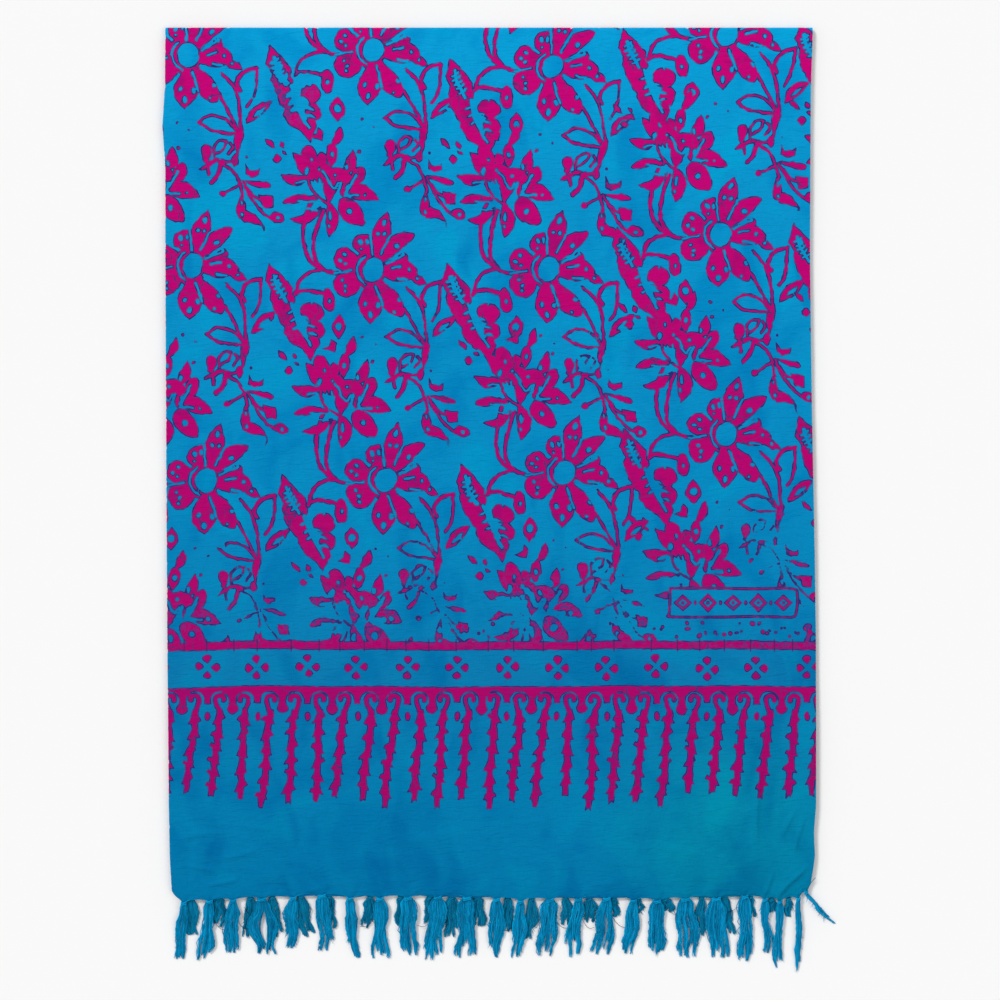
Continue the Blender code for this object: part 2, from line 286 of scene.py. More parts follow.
def bouquet(block):
    """The ragged many-petalled bloom, and the small darts that fly off it."""
    x, y = -41, 80
    Petal = namedtuple("Petal", "x0 y0 x1 y1 width bow belly sharp")
    for petal in (
        Petal(-12, 2, -28, 24, 12, -1, 0.8, 0.9), Petal(-5, 12, -18, 29, 13, 1, 1.4, 0.45),
        Petal(0, 12, -3, 23, 9, 0, 1.0, 0.6), Petal(6, 11, 8, 31, 10, 0, 1.2, 0.5),
        Petal(18, 5, 26, 26, 10.5, -2, 0.8, 0.9), Petal(-15, 1, -40, 3, 10, 3, 0.85, 0.7),
        Petal(22, -8, 34, 11, 12, -1, 1.3, 0.5), Petal(20, -11, 48, -19, 15, 2, 0.75, 0.8),
        Petal(14, -18, 34, -41, 18, -1, 0.85, 0.55), Petal(1, -19, 3, -52, 13, 4, 1.1, 0.8),
        Petal(-9, -18, -38, -21, 8, -2, 1.3, 0.55), Petal(-5, -25, -31, -37, 8, 5, 1.1, 0.7),
        Petal(7, 28, 16, 47, 8, -2, 1.1, 0.8), Petal(5, 2, 4, -23, 13, 0, 0.7, 0.7),
        Petal(16, -2, 15, -16, 5, 0, 1.1, 0.6),
    ):
        block.blade(x + petal.x0, y + petal.y0, x + petal.x1, y + petal.y1,
                    petal.width, petal.bow, petal.belly, petal.sharp)
    block.eye(x - 4, y + 5, 13, 0.72, -8, open_up=False)
    block.eye(x + 13, y + 2, 11, 0.72, -12, open_up=False)
    block.line([(x - 15, y + 2), (x - 13, y - 8), (x - 7, y - 16), (x + 1, y - 22)], 2.4)
    block.outline([(x - 12, y + 36), (x - 6, y + 39), (x - 4, y + 45), (x + 0.5, y + 41),
                   (x - 1, y + 33), (x - 6, y + 34)])
    Dart = namedtuple("Dart", "x y length width turn")
    for dart in (
        Dart(-49, 31, 12, 5, -45), Dart(-38, 30, 7, 4.5, -65), Dart(-36, 23, 6, 3.0, -30),
        Dart(-43, 17, 8, 8, 180), Dart(31, 24, 4, 3, 30), Dart(-9, -18.5, 3.5, 3, 10),
    ):
        dx, dy = polar(dart.turn, dart.length / 2)
        block.blade(x + dart.x - dx, y + dart.y - dy, x + dart.x + dx, y + dart.y + dy,
                    dart.width, sharp=0.9)
    for path, width in (
        (((-2, 6), (2, 1), (4, -5), (8, -9), (11.5, -4)), 2.4), (((28, 4), (23, -5), (18, -13)), 2.6),
        (((14, -4), (11, -12), (5, -21)), 3.0), (((18, -15), (30, -15.5)), 2.4),
        (((-18, -2), (-26, -3.5)), 2.2), (((-5, -1), (-4, -6)), 2.2),
        (((-24, -20), (-11, -21)), 2.0), (((-20, -27), (-8, -28)), 2.0),
    ):
        block.line([(x + dx, y + dy) for dx, dy in path], width, open_up=True)
    block.blade(x - 9.5, y, x - 3, y - 18, 4.4, bow=-1, open_up=True)
    block.eye(x - 16, y + 7, 2.0, 1.9, -15)
    for dx, dy, size, tall in (
        (-4.5, 8.5, 1.3, 1.1), (9.5, 3, 1.5, 1.1), (19.5, 11, 1.8, 1.7), (22, -29, 2.4, 1.1),
        (3.5, -33, 1.8, 2.6), (7.3, 21, 1.9, 1.3), (-11, 17, 1.3, 1.5), (2.5, -42, 1.2, 1.6),
        (36, -15, 1.4, 0.9), (-27, 12, 1.1, 1.5),
    ):
        block.eye(x + dx, y + dy, size, tall)


def sprig(block):
    """The budded sprig under the stems: a small trumpet, curls, twigs and pods."""
    block.blade(17, -95, 17, -79, 9.5, belly=1.7, sharp=0.45)
    block.line([(15, -92), (18, -96), (19, -105)], 3.0)
    block.blade(10, -101, 24, -94, 4.4, sharp=0.8)
    block.blade(18, -95, 30, -92, 4.0, sharp=0.8)
    block.eye(31, -95, 3.8, 0.75, 10, open_up=False)
    block.line([(31, -95), (42, -93), (46, -84), (48, -74)], 2.5)
    block.blade(42, -99, 43, -88, 6.5, sharp=0.7)
    block.line([(24, -90), (24.5, -81), (30, -76), (36, -76.5)], 2.3)
    block.line([(36, -76.5), (33, -83), (26, -87.5)], 2.3)
    block.line([(39, -78), (41.5, -82), (37, -88)], 2.3)
    block.line([(29, -98), (27, -106), (21, -113)], 4.0)
    block.line([(32, -97), (41, -103), (46, -113), (49, -125)], 2.6)
    block.line([(47, -114), (39, -118), (32, -122)], 2.4)
    block.eye(31, -122.5, 3.2, 0.85, 25, open_up=False)
    block.outline([(51, -96), (54, -102), (61, -102), (64, -100), (63, -106), (56, -108), (51, -105)])
    block.blade(49, -111, 73, -117, 5.6, belly=1.8, sharp=0.45)
    block.line([(53, -118), (58, -125), (65, -129)], 2.4)
    block.outline([(63, -124), (75, -126), (75, -136), (66, -135.5)])
    block.blade(48, -122, 47, -146, 8, belly=1.5, sharp=0.7)
    block.outline([(46, -142), (52, -138), (60, -142), (67, -152), (57, -149), (49, -148)])
    block.line([(49, -112), (57, -128), (66, -140), (74, -146)], 2.5)
    block.blade(72, -142, 85, -147, 9.5, sharp=0.6)
    block.eye(47.8, -131, 1.1, 2.2, 5)
    block.eye(48.5, -142, 1.6, 1.2, 10)
    block.eye(79, -145, 1.9, 1.0)
    block.eye(52, -90, 1.1, 1.0, 0, open_up=False)


BLOCK_SIZE = (-100, 86, -152, 136)  # mm from the flower's middle: left, right, low, high
floral_block = Block(*BLOCK_SIZE)
stems(floral_block)
feathered_leaf(floral_block)
bouquet(floral_block)
sprig(floral_block)
flower(floral_block)
bloom_block = Block(*BLOCK_SIZE)
bouquet(bloom_block)


# ---------------------------------------------------------------------------
# The border blocks. A long ruled stripe, a row of four-leaved clovers, and a row of
# hooks and tongues from which barbed tendrils hang, each tendril a strip of its own.
# ---------------------------------------------------------------------------
BORDER_PITCH = 44.3  # mm from one clover to the next
STRIPE_LOW, STRIPE_HIGH = 224.3, 231.3  # mm from the hem, as are the next three
CLOVER_ROW = 208.6
TONGUE_ROOT = 191.5
HOOK_ROW = 179.5
HOOK_SIDE = 10.9  # mm from a clover's middle to a hook's


def clover(block, x, y, rough):
    """Four blunt drops pointing at one another."""
    for angle in (0, 90, 180, 270):
        turned = angle + rough.uniform(-7, 7)
        near, far = rough.uniform(2.6, 3.6), rough.uniform(9.8, 11.0)
        dx0, dy0 = polar(turned, near)
        dx1, dy1 = polar(turned + rough.uniform(-4, 4), far)
        block.blade(x + dx0, y + dy0, x + dx1, y + dy1, rough.uniform(6.6, 7.8), 0, 1.55, 0.62)


def hook(block, x, side, rough):
    """A crook under a narrow open arch. Side is 1 where it curls to the left."""
    y = HOOK_ROW + rough.uniform(-0.4, 0.4)
    lean = rough.uniform(-0.8, 0.8)
    block.line([(x - side * 4.4, y + 0.2), (x - side * 3.4, y + 3.0), (x + side * 0.2, y + 3.9),
                (x + side * 3.2, y + 1.6), (x + side * 2.6, y - 4), (x + side * 0.6 + lean, y - 9),
                (x - side * 0.6 + lean, y - 16)], rough.uniform(3.6, 4.2))
    block.eye(x - side * 3.9, y - 0.2, 2.1, 1.0, open_up=False)


def tendril(block, x, rough):
    """A chain of barbs, each over the neck of the next, with most necks scored across."""
    y = HOOK_ROW - 9.5
    foot = rough.uniform(91.0, 98.5)
    drift = rough.uniform(-10.0, -3.5)
    sway = rough.uniform(-1.6, 1.6)
    joints = [y]
    while joints[-1] > foot + 9:
        joints.append(joints[-1] - rough.uniform(10.5, 16.0))

    def stem_at(level):
        return x + drift * ((y - level) / 78) + sway * math.sin((y - level) / 12)

    scores = []
    for top, low in zip(joints, joints[1:]):
        middle = stem_at(top) + rough.uniform(-0.5, 0.5)
        lower = stem_at(low)
        left = rough.uniform(4.9, 6.7)
        right = rough.uniform(4.9, 6.7)
        raised = rough.choice((-1, 1)) * rough.uniform(1.5, 6.5)
        block.outline([
            (middle - 2.2, top + 1), (middle + 2.2, top + 1), (middle + 2.9, top - 4),
            (lower + right * 0.75, low + 4.6 + max(raised, 0)), (lower + right, low + 1.6 + max(raised, 0)),
            (lower + 2.8, low + 1.8 + max(raised, 0) * 0.6), (lower + 2.4, low - 1.5),
            (lower - 2.4, low - 1.5), (lower - 2.8, low + 1.8 - min(raised, 0) * 0.6),
            (lower - left, low + 1.4 - min(raised, 0)), (lower - left * 0.72, low + 4.4 - min(raised, 0)),
            (middle - 3.0, top - 4),
        ])
        scores.append([(lower - 3.4, low + 2.2), (lower, low + 0.2), (lower + 3.2, low + 1.8)])
    end = joints[-1]
    foot_x = stem_at(end)
    foot_end = end - rough.uniform(5.0, 8.5)
    block.outline([(foot_x - 2.3, end + 1), (foot_x + 2.3, end + 1),
                   (foot_x + rough.uniform(1.2, 2.4), foot_end + rough.uniform(-1, 1.5)),
                   (foot_x + rough.uniform(-0.5, 0.5), foot_end + rough.uniform(0, 2.5)),
                   (foot_x - rough.uniform(2.0, 3.2), foot_end + rough.uniform(-1.5, 1.5))])
    for score in scores[::1 if rough.random() < 0.7 else 2]:
        block.line(score, -0.5, open_up=True)


def border(block, first_clover, rough):
    """Every block of the border, from one side of the cloth to the other."""
    middles = np.arange(first_clover, 330, BORDER_PITCH)
    for middle in middles:
        clover(block, middle + rough.uniform(-1, 1), CLOVER_ROW + rough.uniform(-1.2, 1.2), rough)
    part, x, y = block.window(-310, 310, 165, 236)
    wave = 0.5 * np.sin(x / 61 + first_clover) + 0.3 * np.sin(x / 17 + 1.0)
    sag = -1.9 * np.clip((-x - 195) / 95, 0, 1) ** 1.5
    stripe = (STRIPE_HIGH - STRIPE_LOW) / 2 - np.abs(
        y - (STRIPE_HIGH + STRIPE_LOW) / 2 - wave - sag
    )
    bar = np.minimum(TONGUE_ROOT + wave + 1.2 * sag - y, y - HOOK_ROW + 0.5)
    block.lay(part, np.maximum(stripe, bar), False)
    for middle in middles:
        for x0, foot in ((middle, 176.6), (middle + BORDER_PITCH / 2, 172.0)):
            foot += rough.uniform(-1.0, 1.0)
            block.outline([(x0 - 4, 188), (x0 + 4, 188), (x0 + 3.4, foot), (x0 - 3.4, foot)])
    for middle in middles:
        for side in (-1, 1):
            block.eye(middle - side * HOOK_SIDE, HOOK_ROW - 0.6, 8.4, 1.0)
    for middle in middles:
        x0 = middle + BORDER_PITCH / 2 + rough.uniform(-0.6, 0.6)
        block.blade(x0, 177, x0, 167.0 + rough.uniform(-1, 1), 10.0, 0, 1.1, 0.55)
        block.eye(middle + rough.uniform(-0.6, 0.6), 165.0, 2.3, 1.75, rough.uniform(-12, 6), False)
        for side in (-1, 1):
            place = middle - side * HOOK_SIDE + rough.uniform(-0.7, 0.7)
            hook(block, place, side, rough)
            tendril(block, place - side * 0.5, rough)


# ---------------------------------------------------------------------------
# The whole print. The blocks are set down by hand across the cloth, so that no two
# prints are alike, and above the border the wax was thin and the print is broken.
# ---------------------------------------------------------------------------
CUT_LENGTH = 1550.0


def cloudy(x, y, size, seed):
    """Smooth random values from 0 to 1, with features about this size."""
    lattice = np.random.default_rng(seed).random((257, 257)).astype(np.float32)
    column, row = np.floor(x / size).astype(int), np.floor(y / size).astype(int)
    s, t = x / size - column, y / size - row
    s, t = s * s * (3 - 2 * s), t * t * (3 - 2 * t)
    left, right = column % 257, (column + 1) % 257
    low, high = row % 257, (row + 1) % 257
    lower = lattice[low, left] * (1 - s) + lattice[low, right] * s
    upper = lattice[high, left] * (1 - s) + lattice[high, right] * s
    return lower * (1 - t) + upper * t


def set_down(cloth, block, x, along, turn, seed):
    """Stamps a block on the cloth, a little turned, with the wax spread unevenly."""
    part, across, up = cloth.window(x - 104, x + 90, along - 156, along + 140)
    dx, dy = across - x, up - along
    dx = dx + 2.4 * (cloudy(across, up, 21, seed) - 0.5) + 1.3 * (cloudy(across, up, 3.4, 11) - 0.5)
    dy = dy + 2.4 * (cloudy(across, up, 21, seed + 1) - 0.5) + 1.3 * (cloudy(across, up, 3.4, 12) - 0.5)
    cos, sin = math.cos(math.radians(turn)), math.sin(math.radians(turn))
    depth = block.depth_at(dx * cos + dy * sin, dy * cos - dx * sin)
    cloth.lay(part, depth - 0.12, False)


# Where each flower's middle stands, in mm across the cloth from its middle and along
# it from the front hem. The rows go on past the fold, 188 mm apart.
Stamp = namedtuple("Stamp", "x along turn")
FRONT_STAMPS = (
    Stamp(-268, 750, 0.5), Stamp(-103.5, 754, 0), Stamp(56.5, 740, -1.0), Stamp(210.5, 768, 0),
    Stamp(-264, 564, 0), Stamp(-103.5, 561, 0), Stamp(54, 561, 0.5), Stamp(206, 592, 0),
    Stamp(-253, 373, -0.5), Stamp(-94, 374, 0), Stamp(65.5, 381, -1.0), Stamp(210, 415, 0),
    Stamp(-247, 186, 0), Stamp(-84, 186, -0.5), Stamp(74, 192, 0),
    Stamp(367, 775, 0), Stamp(363, 596, 0), Stamp(367, 425, 0), Stamp(372, 240, 0),
    Stamp(-430, 740, 0), Stamp(-424, 555, 0), Stamp(-412, 366, 0), Stamp(-405, 180, 0),
)

PRINT_LEFT, PRINT_RIGHT = -312, 300  # mm, a little wider than the half that shows
cloth_print = Block(PRINT_LEFT, PRINT_RIGHT, -6, CUT_LENGTH + 6)
stamped = list(FRONT_STAMPS)
for first in FRONT_STAMPS[:4] + FRONT_STAMPS[15:16] + FRONT_STAMPS[19:20]:
    stamped += [Stamp(first.x - 5 * row, first.along + 188 * row, first.turn) for row in (1, 2, 3)]
for seed, stamp in enumerate(stamped):
    set_down(cloth_print, floral_block, stamp.x, stamp.along, stamp.turn, 100 + 2 * seed)

# In the corner by the selvages only the bouquet is set down
set_down(cloth_print, bloom_block, 216, 228, 0, 98)

# The wax was thin in these places, in mm: the print there is broken and pale
Thin = namedtuple("Thin", "x along wide tall strength")
THIN_WAX = (
    Thin(0, 250, 330, 20, 0.95), Thin(115, 262, 70, 34, 0.85), Thin(30, 258, 60, 30, 0.95),
    Thin(-60, 268, 40, 26, 0.9), Thin(240, 247, 90, 20, 1.3), Thin(258, 314, 42, 40, 0.95),
    Thin(228, 320, 26, 30, 0.6), Thin(0, 300, 330, 40, 0.25), Thin(-178, 262, 70, 26, 0.7),
    Thin(-178, 716, 26, 30, 0.9), Thin(-205, 262, 40, 24, 0.4),
    Thin(-180, 500, 22, 30, 0.35), Thin(120, 700, 30, 24, 0.4), Thin(-40, 505, 26, 30, 0.35),
    Thin(110, 480, 24, 26, 0.5), Thin(-60, 320, 26, 26, 0.5), Thin(0, 1295, 330, 24, 0.8),
    Thin(-90, 1100, 60, 50, 0.5), Thin(140, 980, 70, 40, 0.5),
)


def thin_at(x, along):
    """How thin the wax was at these points, from 0 to 1 or more."""
    thin = np.zeros(np.shape(x), np.float32)
    for place in THIN_WAX:
        off = ((x - place.x) / place.wide) ** 2 + ((along - place.along) / place.tall) ** 2
        thin = np.maximum(thin, place.strength * np.exp(-off))
    return thin


for low in range(0, 1560, 120):
    part, across, along = cloth_print.window(PRINT_LEFT, PRINT_RIGHT, low, low + 119.4)
    thin = thin_at(across, along)
    bare = 2.3 * cloudy(across, along, 6.5, 21) + 1.5 * cloudy(across, along, 1.9, 22) - 0.7
    cloth_print.depth[part] -= (thin * np.clip(bare, 0, 3)).astype(np.float32)

# The border is printed along the front hem, and turned about along the far one
for far, seed in ((False, 3), (True, 8)):
    hem_print = Block(PRINT_LEFT, PRINT_RIGHT, -6, 240)
    border(hem_print, -296.5, random.Random(seed))
    lengths = (1310, 1556) if far else (-6, 239)
    part, across, along = cloth_print.window(PRINT_LEFT, PRINT_RIGHT, *lengths)
    face = cloth_print.depth[part]
    up = CUT_LENGTH - along if far else along
    ripple = 0.7 * (cloudy(across, along, 2.9, 31) - 0.5)
    depth = hem_print.depth_at(across + ripple, up - 0.8 * (cloudy(across, along, 3.3, 32) - 0.5))
    cleared = np.where(up < STRIPE_LOW + 3, -BLOCK_REACH, face)
    cloth_print.depth[part] = np.maximum(cleared, depth)

# Crumbs of wax that broke away above the stripe, most of them towards the right
crumbs = random.Random(12)
for number in range(46):
    x = 282 - 330 * crumbs.random() ** 1.5
    along = STRIPE_HIGH + 4 + 13 * crumbs.random() ** 1.4
    size = crumbs.uniform(0.9, 2.0) * (1.6 if number % 9 == 0 else 1.0)
    cloth_print.eye(x, along, size, crumbs.uniform(0.5, 1.3), crumbs.uniform(0, 180), open_up=False)

# A framed row of lozenges beside the border, in a corner that is otherwise bare
FRAME_X, FRAME_ALONG, FRAME_WIDE, FRAME_TALL = 215.0, 265.4, 113.0, 25.0
LOZENGE_ROW = 265.5
part, across, along = cloth_print.window(150, 280, 245, 285)
cloth_print.lay(part, -1.5 + 0 * across, False)
inside_frame = np.minimum(
    FRAME_WIDE / 2 + 1.5 - abs(across - FRAME_X), FRAME_TALL / 2 + 1.5 - abs(along - FRAME_ALONG)
)
cloth_print.lay(part, inside_frame, True)
for side in (
    [(159, 278.2), (190, 278.6), (232, 277.9), (262, 278.4), (271.2, 276.8)],
    [(271.2, 276.8), (271.9, 268), (270, 255), (266, 252.6)],
    [(266, 252.6), (235, 253.4), (200, 252.8), (160, 253), (157.6, 255)],
    [(157.6, 255), (158.4, 264), (159, 278.2)],
):
    cloth_print.line(side, 1.9)
for number in range(5):
    x = FRAME_X - 45 + 22.3 * number
    tall = 8.4 if number % 2 else 7.2
    for wide, high, open_up in ((8, tall, False), (4.4, tall * 0.52, True)):
        cloth_print.outline([(x - wide, LOZENGE_ROW), (x, LOZENGE_ROW + high),
                             (x + wide, LOZENGE_ROW), (x, LOZENGE_ROW - high)], open_up)
    cloth_print.eye(x, LOZENGE_ROW, 1.3, 1.0, 0, open_up=False)
    if number < 4:
        cloth_print.eye(x + 11.1, LOZENGE_ROW, 1.2, 1.6, 0, open_up=False)


# ---------------------------------------------------------------------------
# The edges of the print. The dye stops sharply at the wax, so the cloth's mesh has
# vertices just inside and just outside every edge, and few anywhere else.
# ---------------------------------------------------------------------------
EDGE_REACH = 0.75  # mm from an edge to the mesh's vertices on either side of it


def edge_loops(depth, level):
    """Closed loops along one depth of the print: points in steps of the grid."""
    high, wide = depth.shape
    over = depth - level
    inside = over > 0
    case = (inside[:-1, :-1] + 2 * inside[:-1, 1:] + 4 * inside[1:, 1:] + 8 * inside[1:, :-1])
    rows, columns = np.nonzero((case > 0) & (case < 15))
    case = case[rows, columns]
    # The four sides of a cell: low, right, high and left, as numbers of grid edges
    count = high * wide
    cell = rows * wide + columns
    sides = np.column_stack([cell, count + cell + 1, cell + wide, count + cell])
    # For each case, the side that the loop comes in by and the one it leaves by
    ways = {
        1: ((0, 3),), 2: ((1, 0),), 3: ((1, 3),), 4: ((2, 1),), 5: ((0, 3), (2, 1)),
        6: ((2, 0),), 7: ((2, 3),), 8: ((3, 2),), 9: ((0, 2),), 10: ((1, 0), (3, 2)),
        11: ((1, 2),), 12: ((3, 1),), 13: ((0, 1),), 14: ((3, 0),),
    }
    starts, ends = [], []
    for number, pairs in ways.items():
        chosen = sides[case == number]
        for come_in, go_out in pairs:
            starts.append(chosen[:, come_in])
            ends.append(chosen[:, go_out])
    starts, ends = np.concatenate(starts), np.concatenate(ends)
    order = np.argsort(starts)
    starts, ends = starts[order], ends[order]
    following = np.searchsorted(starts, ends)
    # Each point lies where the depth crosses the level on its grid edge
    upright = starts >= count
    cell = starts - count * upright
    row, column = cell // wide, cell % wide
    here = over[row, column]
    there = over[row + upright, column + ~upright]
    share = here / (here - there)
    points = np.column_stack([column + share * ~upright, row + share * upright])
    # Number the loops in the order in which they run
    seen = np.zeros(len(starts), bool)
    loops = []
    following = following.tolist()
    for first in range(len(starts)):
        if seen[first]:
            continue
        loop = [first]
        seen[first] = True
        step = following[first]
        while step != first:
            loop.append(step)
            seen[step] = True
            step = following[step]
        loops.append(loop)
    return [points[loop] for loop in loops if len(loop) > 5]


def thinned(loops, tolerance):
    """The loops with the points left out that hardly change their shape."""
    points = np.vstack(loops)
    owner = np.repeat(np.arange(len(loops)), [len(loop) for loop in loops])
    strayed = np.zeros(len(points))
    for turn in range(24):
        first = np.searchsorted(owner, owner, side="left")
        last = np.searchsorted(owner, owner, side="right") - 1
        index = np.arange(len(points))
        before = np.where(index == first, last, index - 1)
        after = np.where(index == last, first, index + 1)
        chord = points[after] - points[before]
        off = points - points[before]
        length = np.hypot(*chord.T) + 1e-9
        away = abs(chord[:, 0] * off[:, 1] - chord[:, 1] * off[:, 0]) / length
        cost = away + np.maximum(strayed, np.maximum(strayed[before], strayed[after]))
        cost[last - first < 4] = 9
        cost[length > 14] = 9
        wanted = cost < tolerance
        # A point goes only where it costs less than both of its neighbours
        lowest = (cost < cost[before]) & (cost <= cost[after])
        gone = wanted & (lowest | ((index + turn) % 2 == 0) & ~wanted[before] & ~wanted[after])
        if not gone.any():
            break
        for neighbour in (before, after):
            np.maximum.at(strayed, neighbour[gone], cost[gone])
        points, owner, strayed = points[~gone], owner[~gone], strayed[~gone]
    return points, owner


HALF_WIDTH = 287.5
TURN_IN = 16.0  # mm of the cloth that show as they turn under down the left fold
FOLD_START = 772.6  # mm from the front hem, where the layers start to turn over
FOLD_LONG = math.pi * 2.4  # mm round the top fold


def spread_points(left, right, low, high, pitch, rough):
    """Points about a pitch apart, each a little out of its place."""
    ups = np.arange(low + pitch / 2, high, pitch * 0.87)
    points = []
    for number, up in enumerate(ups):
        across = np.arange(left + pitch * (0.5 if number % 2 else 0.95), right - pitch * 0.3, pitch)
        points.append(np.column_stack([across, np.full(len(across), up)]))
    points = np.vstack(points)
    return points + rough.uniform(-0.14, 0.14, points.shape) * pitch


def cut_sheet(low, high, tolerance, pitch, dense, seed):
    """The flat cloth between two lengths, as points and triangles in mm, with the
    print's edges among them. Dense lists areas with closer points."""
    rough = np.random.default_rng(seed)
    left, right = -HALF_WIDTH - TURN_IN, HALF_WIDTH
    part, across, along = cloth_print.window(left - 4, right + 4, low - 4, high + 4)
    depth = cloth_print.depth[part].astype(np.float64)
    depth[0], depth[-1], depth[:, 0], depth[:, -1] = (-BLOCK_REACH,) * 4
    # Hair lines and hair slits have no loops inside them, so points mark their middles
    middles = np.zeros(depth.shape, bool)
    for axis in (0, 1):
        before, after = np.roll(depth, 1, axis), np.roll(depth, -1, axis)
        middles |= (depth > before) & (depth >= after) & (-0.35 < depth) & (depth < EDGE_REACH)
        middles |= (depth < before) & (depth <= after) & (-EDGE_REACH < depth) & (depth < 0.35)
    rows, columns = np.nonzero(middles)
    some = (rows + 2 * columns) % 3 == 0
    origin = np.array([across[0, 0], along[0, 0]])
    corners = np.array([(left, low), (right, low), (right, high), (left, high)])
    points, edges = [corners], [(0, 1), (1, 2), (2, 3), (3, 0)]
    total = 4
    for level in (-EDGE_REACH, EDGE_REACH):
        loops, owner = thinned(edge_loops(depth, level), tolerance / BLOCK_STEP)
        loops = origin + BLOCK_STEP * loops
        index = np.arange(len(loops))
        after = np.where(np.append(owner[1:] != owner[:-1], True),
                         np.searchsorted(owner, owner, side="left"), index + 1)
        inside = np.all((loops > (left - 2, low - 2)) & (loops < (right + 2, high + 2)), axis=1)
        kept = inside & inside[after]
        used = np.zeros(len(loops), bool)
        used[index[kept]] = True
        used[after[kept]] = True
        number = total + np.cumsum(used) - 1
        points.append(loops[used])
        edges += np.column_stack([number[index[kept]], number[after[kept]]]).tolist()
        total += int(used.sum())
    free = [spread_points(left, right, low, high, pitch, rough)]
    for area in dense:
        free.append(spread_points(*area, rough))
    # Rows of points along the four sides and along both folds
    rows_along = [(left, None, 200), (right, None, 400), (None, low, 400), (None, high, 300)]
    rows_along += [(fold, None, 190) for fold in np.arange(-HALF_WIDTH - 3.2, -HALF_WIDTH + 3.3, 0.8)]
    if low < FOLD_START < high:
        rows_along += [(None, fold, 150) for fold in np.arange(FOLD_START - 1, high, 0.95)]
    for x, y, count in rows_along:
        xs = np.linspace(left, right, count + 2)[1:-1] if x is None else np.full(count, x)
        ys = np.linspace(low, high, count + 2)[1:-1] if y is None else np.full(count, y)
        free.append(np.column_stack([xs, ys]))
    hair = origin + BLOCK_STEP * np.column_stack([columns[some], rows[some]])
    hair = hair[np.all((hair > (left + 0.3, low + 0.3)) & (hair < (right - 0.3, high - 0.3)), axis=1)]
    points.append(hair)
    free = np.vstack(free)
    ink = cloth_print.depth_at(free[:, 0], free[:, 1])
    points.append(free[(abs(ink) > EDGE_REACH + 0.7) | (abs(ink) < EDGE_REACH - 0.45)])
    points = np.vstack(points)
    flat = [Vector(point) for point in points.tolist()]
    flat, _, faces, *_ = geometry.delaunay_2d_cdt(flat, edges, [], 0, 1e-4, False)
    points = np.array([tuple(point) for point in flat])
    faces = np.array(faces)
    middle = points[faces].mean(axis=1)
    kept = (middle[:, 0] > left) & (middle[:, 0] < right) & (middle[:, 1] > low) & (middle[:, 1] < high)
    faces = faces[kept]
    used, faces = np.unique(faces, return_inverse=True)
    return points[used], faces.reshape(-1, 3)


# ---------------------------------------------------------------------------
# The printed cloth where it shows: a thin plain-woven viscose that lies over the
# stack, turns over the top fold and goes back underneath. The left side is a fold,
# the right side two selvages, and the hem is pulled into small arches by its knots.
# ---------------------------------------------------------------------------
STACK = 4.8  # mm, the four layers
TOP_Y = 1000 * cloth_high.y
HEM_Y = TOP_Y - 775.0
CURL = 1.05  # mm, the radius of the left fold

# How far each side stands out from the straight width, at heights above the hem, in mm
Side = namedtuple("Side", "up left right")
SIDES = (
    Side(0, -5.5, -3.5), Side(16, -5.0, -2.5), Side(42, -3.9, 0.0), Side(62, -3.5, -0.9),
    Side(87, -3.1, 0.9), Side(228, -1.8, 0.9), Side(300, -1.3, 0.0), Side(440, -0.6, -2.7),
    Side(575, 0.0, -4.4), Side(650, 0.0, -4.0), Side(688, 2.6, -3.8), Side(722, 0.4, -3.5),
    Side(775, 0.0, -1.8),
)

# The knots of the fringe in mm: each one's place and height above the hem, how far its
# tassel leans to the right on the way down, its length and width, and how far its
# middle has parted
Tassel = namedtuple("Tassel", "x rise lean length width gap", defaults=(0.0,))
FRONT_TASSELS = (
    Tassel(-271.2, 0.0, -4.4, 50.4, 8.0), Tassel(-248.4, 1.3, -5.3, 52.4, 9.0),
    Tassel(-227.5, 2.0, -2.6, 46.8, 10.0), Tassel(-201.8, 3.3, 1.4, 49.3, 15.0, 5.0),
    Tassel(-174.4, 4.4, -4.4, 45.1, 9.0), Tassel(-148.7, 6.5, 4.4, 49.8, 11.0),
    Tassel(-123.9, 3.9, 4.4, 53.1, 9.0), Tassel(-97.4, 3.9, 1.2, 53.7, 10.0),
    Tassel(-72.7, 4.4, 1.8, 51.2, 13.0), Tassel(-46.1, 5.0, -4.4, 56.3, 13.0),
    Tassel(-20.4, 4.4, -1.8, 53.7, 14.0), Tassel(5.7, 3.2, -0.6, 52.5, 11.0),
    Tassel(27.2, 1.2, -4.4, 50.5, 9.0), Tassel(53.1, 2.7, -5.3, 50.4, 13.0),
    Tassel(78.4, 3.2, -6.7, 51.9, 11.0), Tassel(103.5, 3.8, -5.0, 50.3, 12.0, 2.0),
    Tassel(127.1, 2.0, -5.8, 48.1, 11.0), Tassel(147.8, 1.4, -1.2, 48.7, 13.0),
    Tassel(173.2, 3.3, 2.7, 52.8, 16.0, 2.0), Tassel(200.4, 3.9, 1.8, 53.1, 16.0),
    Tassel(225.7, 5.8, 1.2, 58.1, 10.0), Tassel(243.4, 3.3, 3.5, 48.4, 6.0),
    Tassel(256.7, 1.4, -2.7, 59.5, 6.0), Tassel(273.1, 3.9, 0.0, 65.8, 4.0),
    Tassel(280.0, 9.7, 26.5, 28.3, 3.5),
)
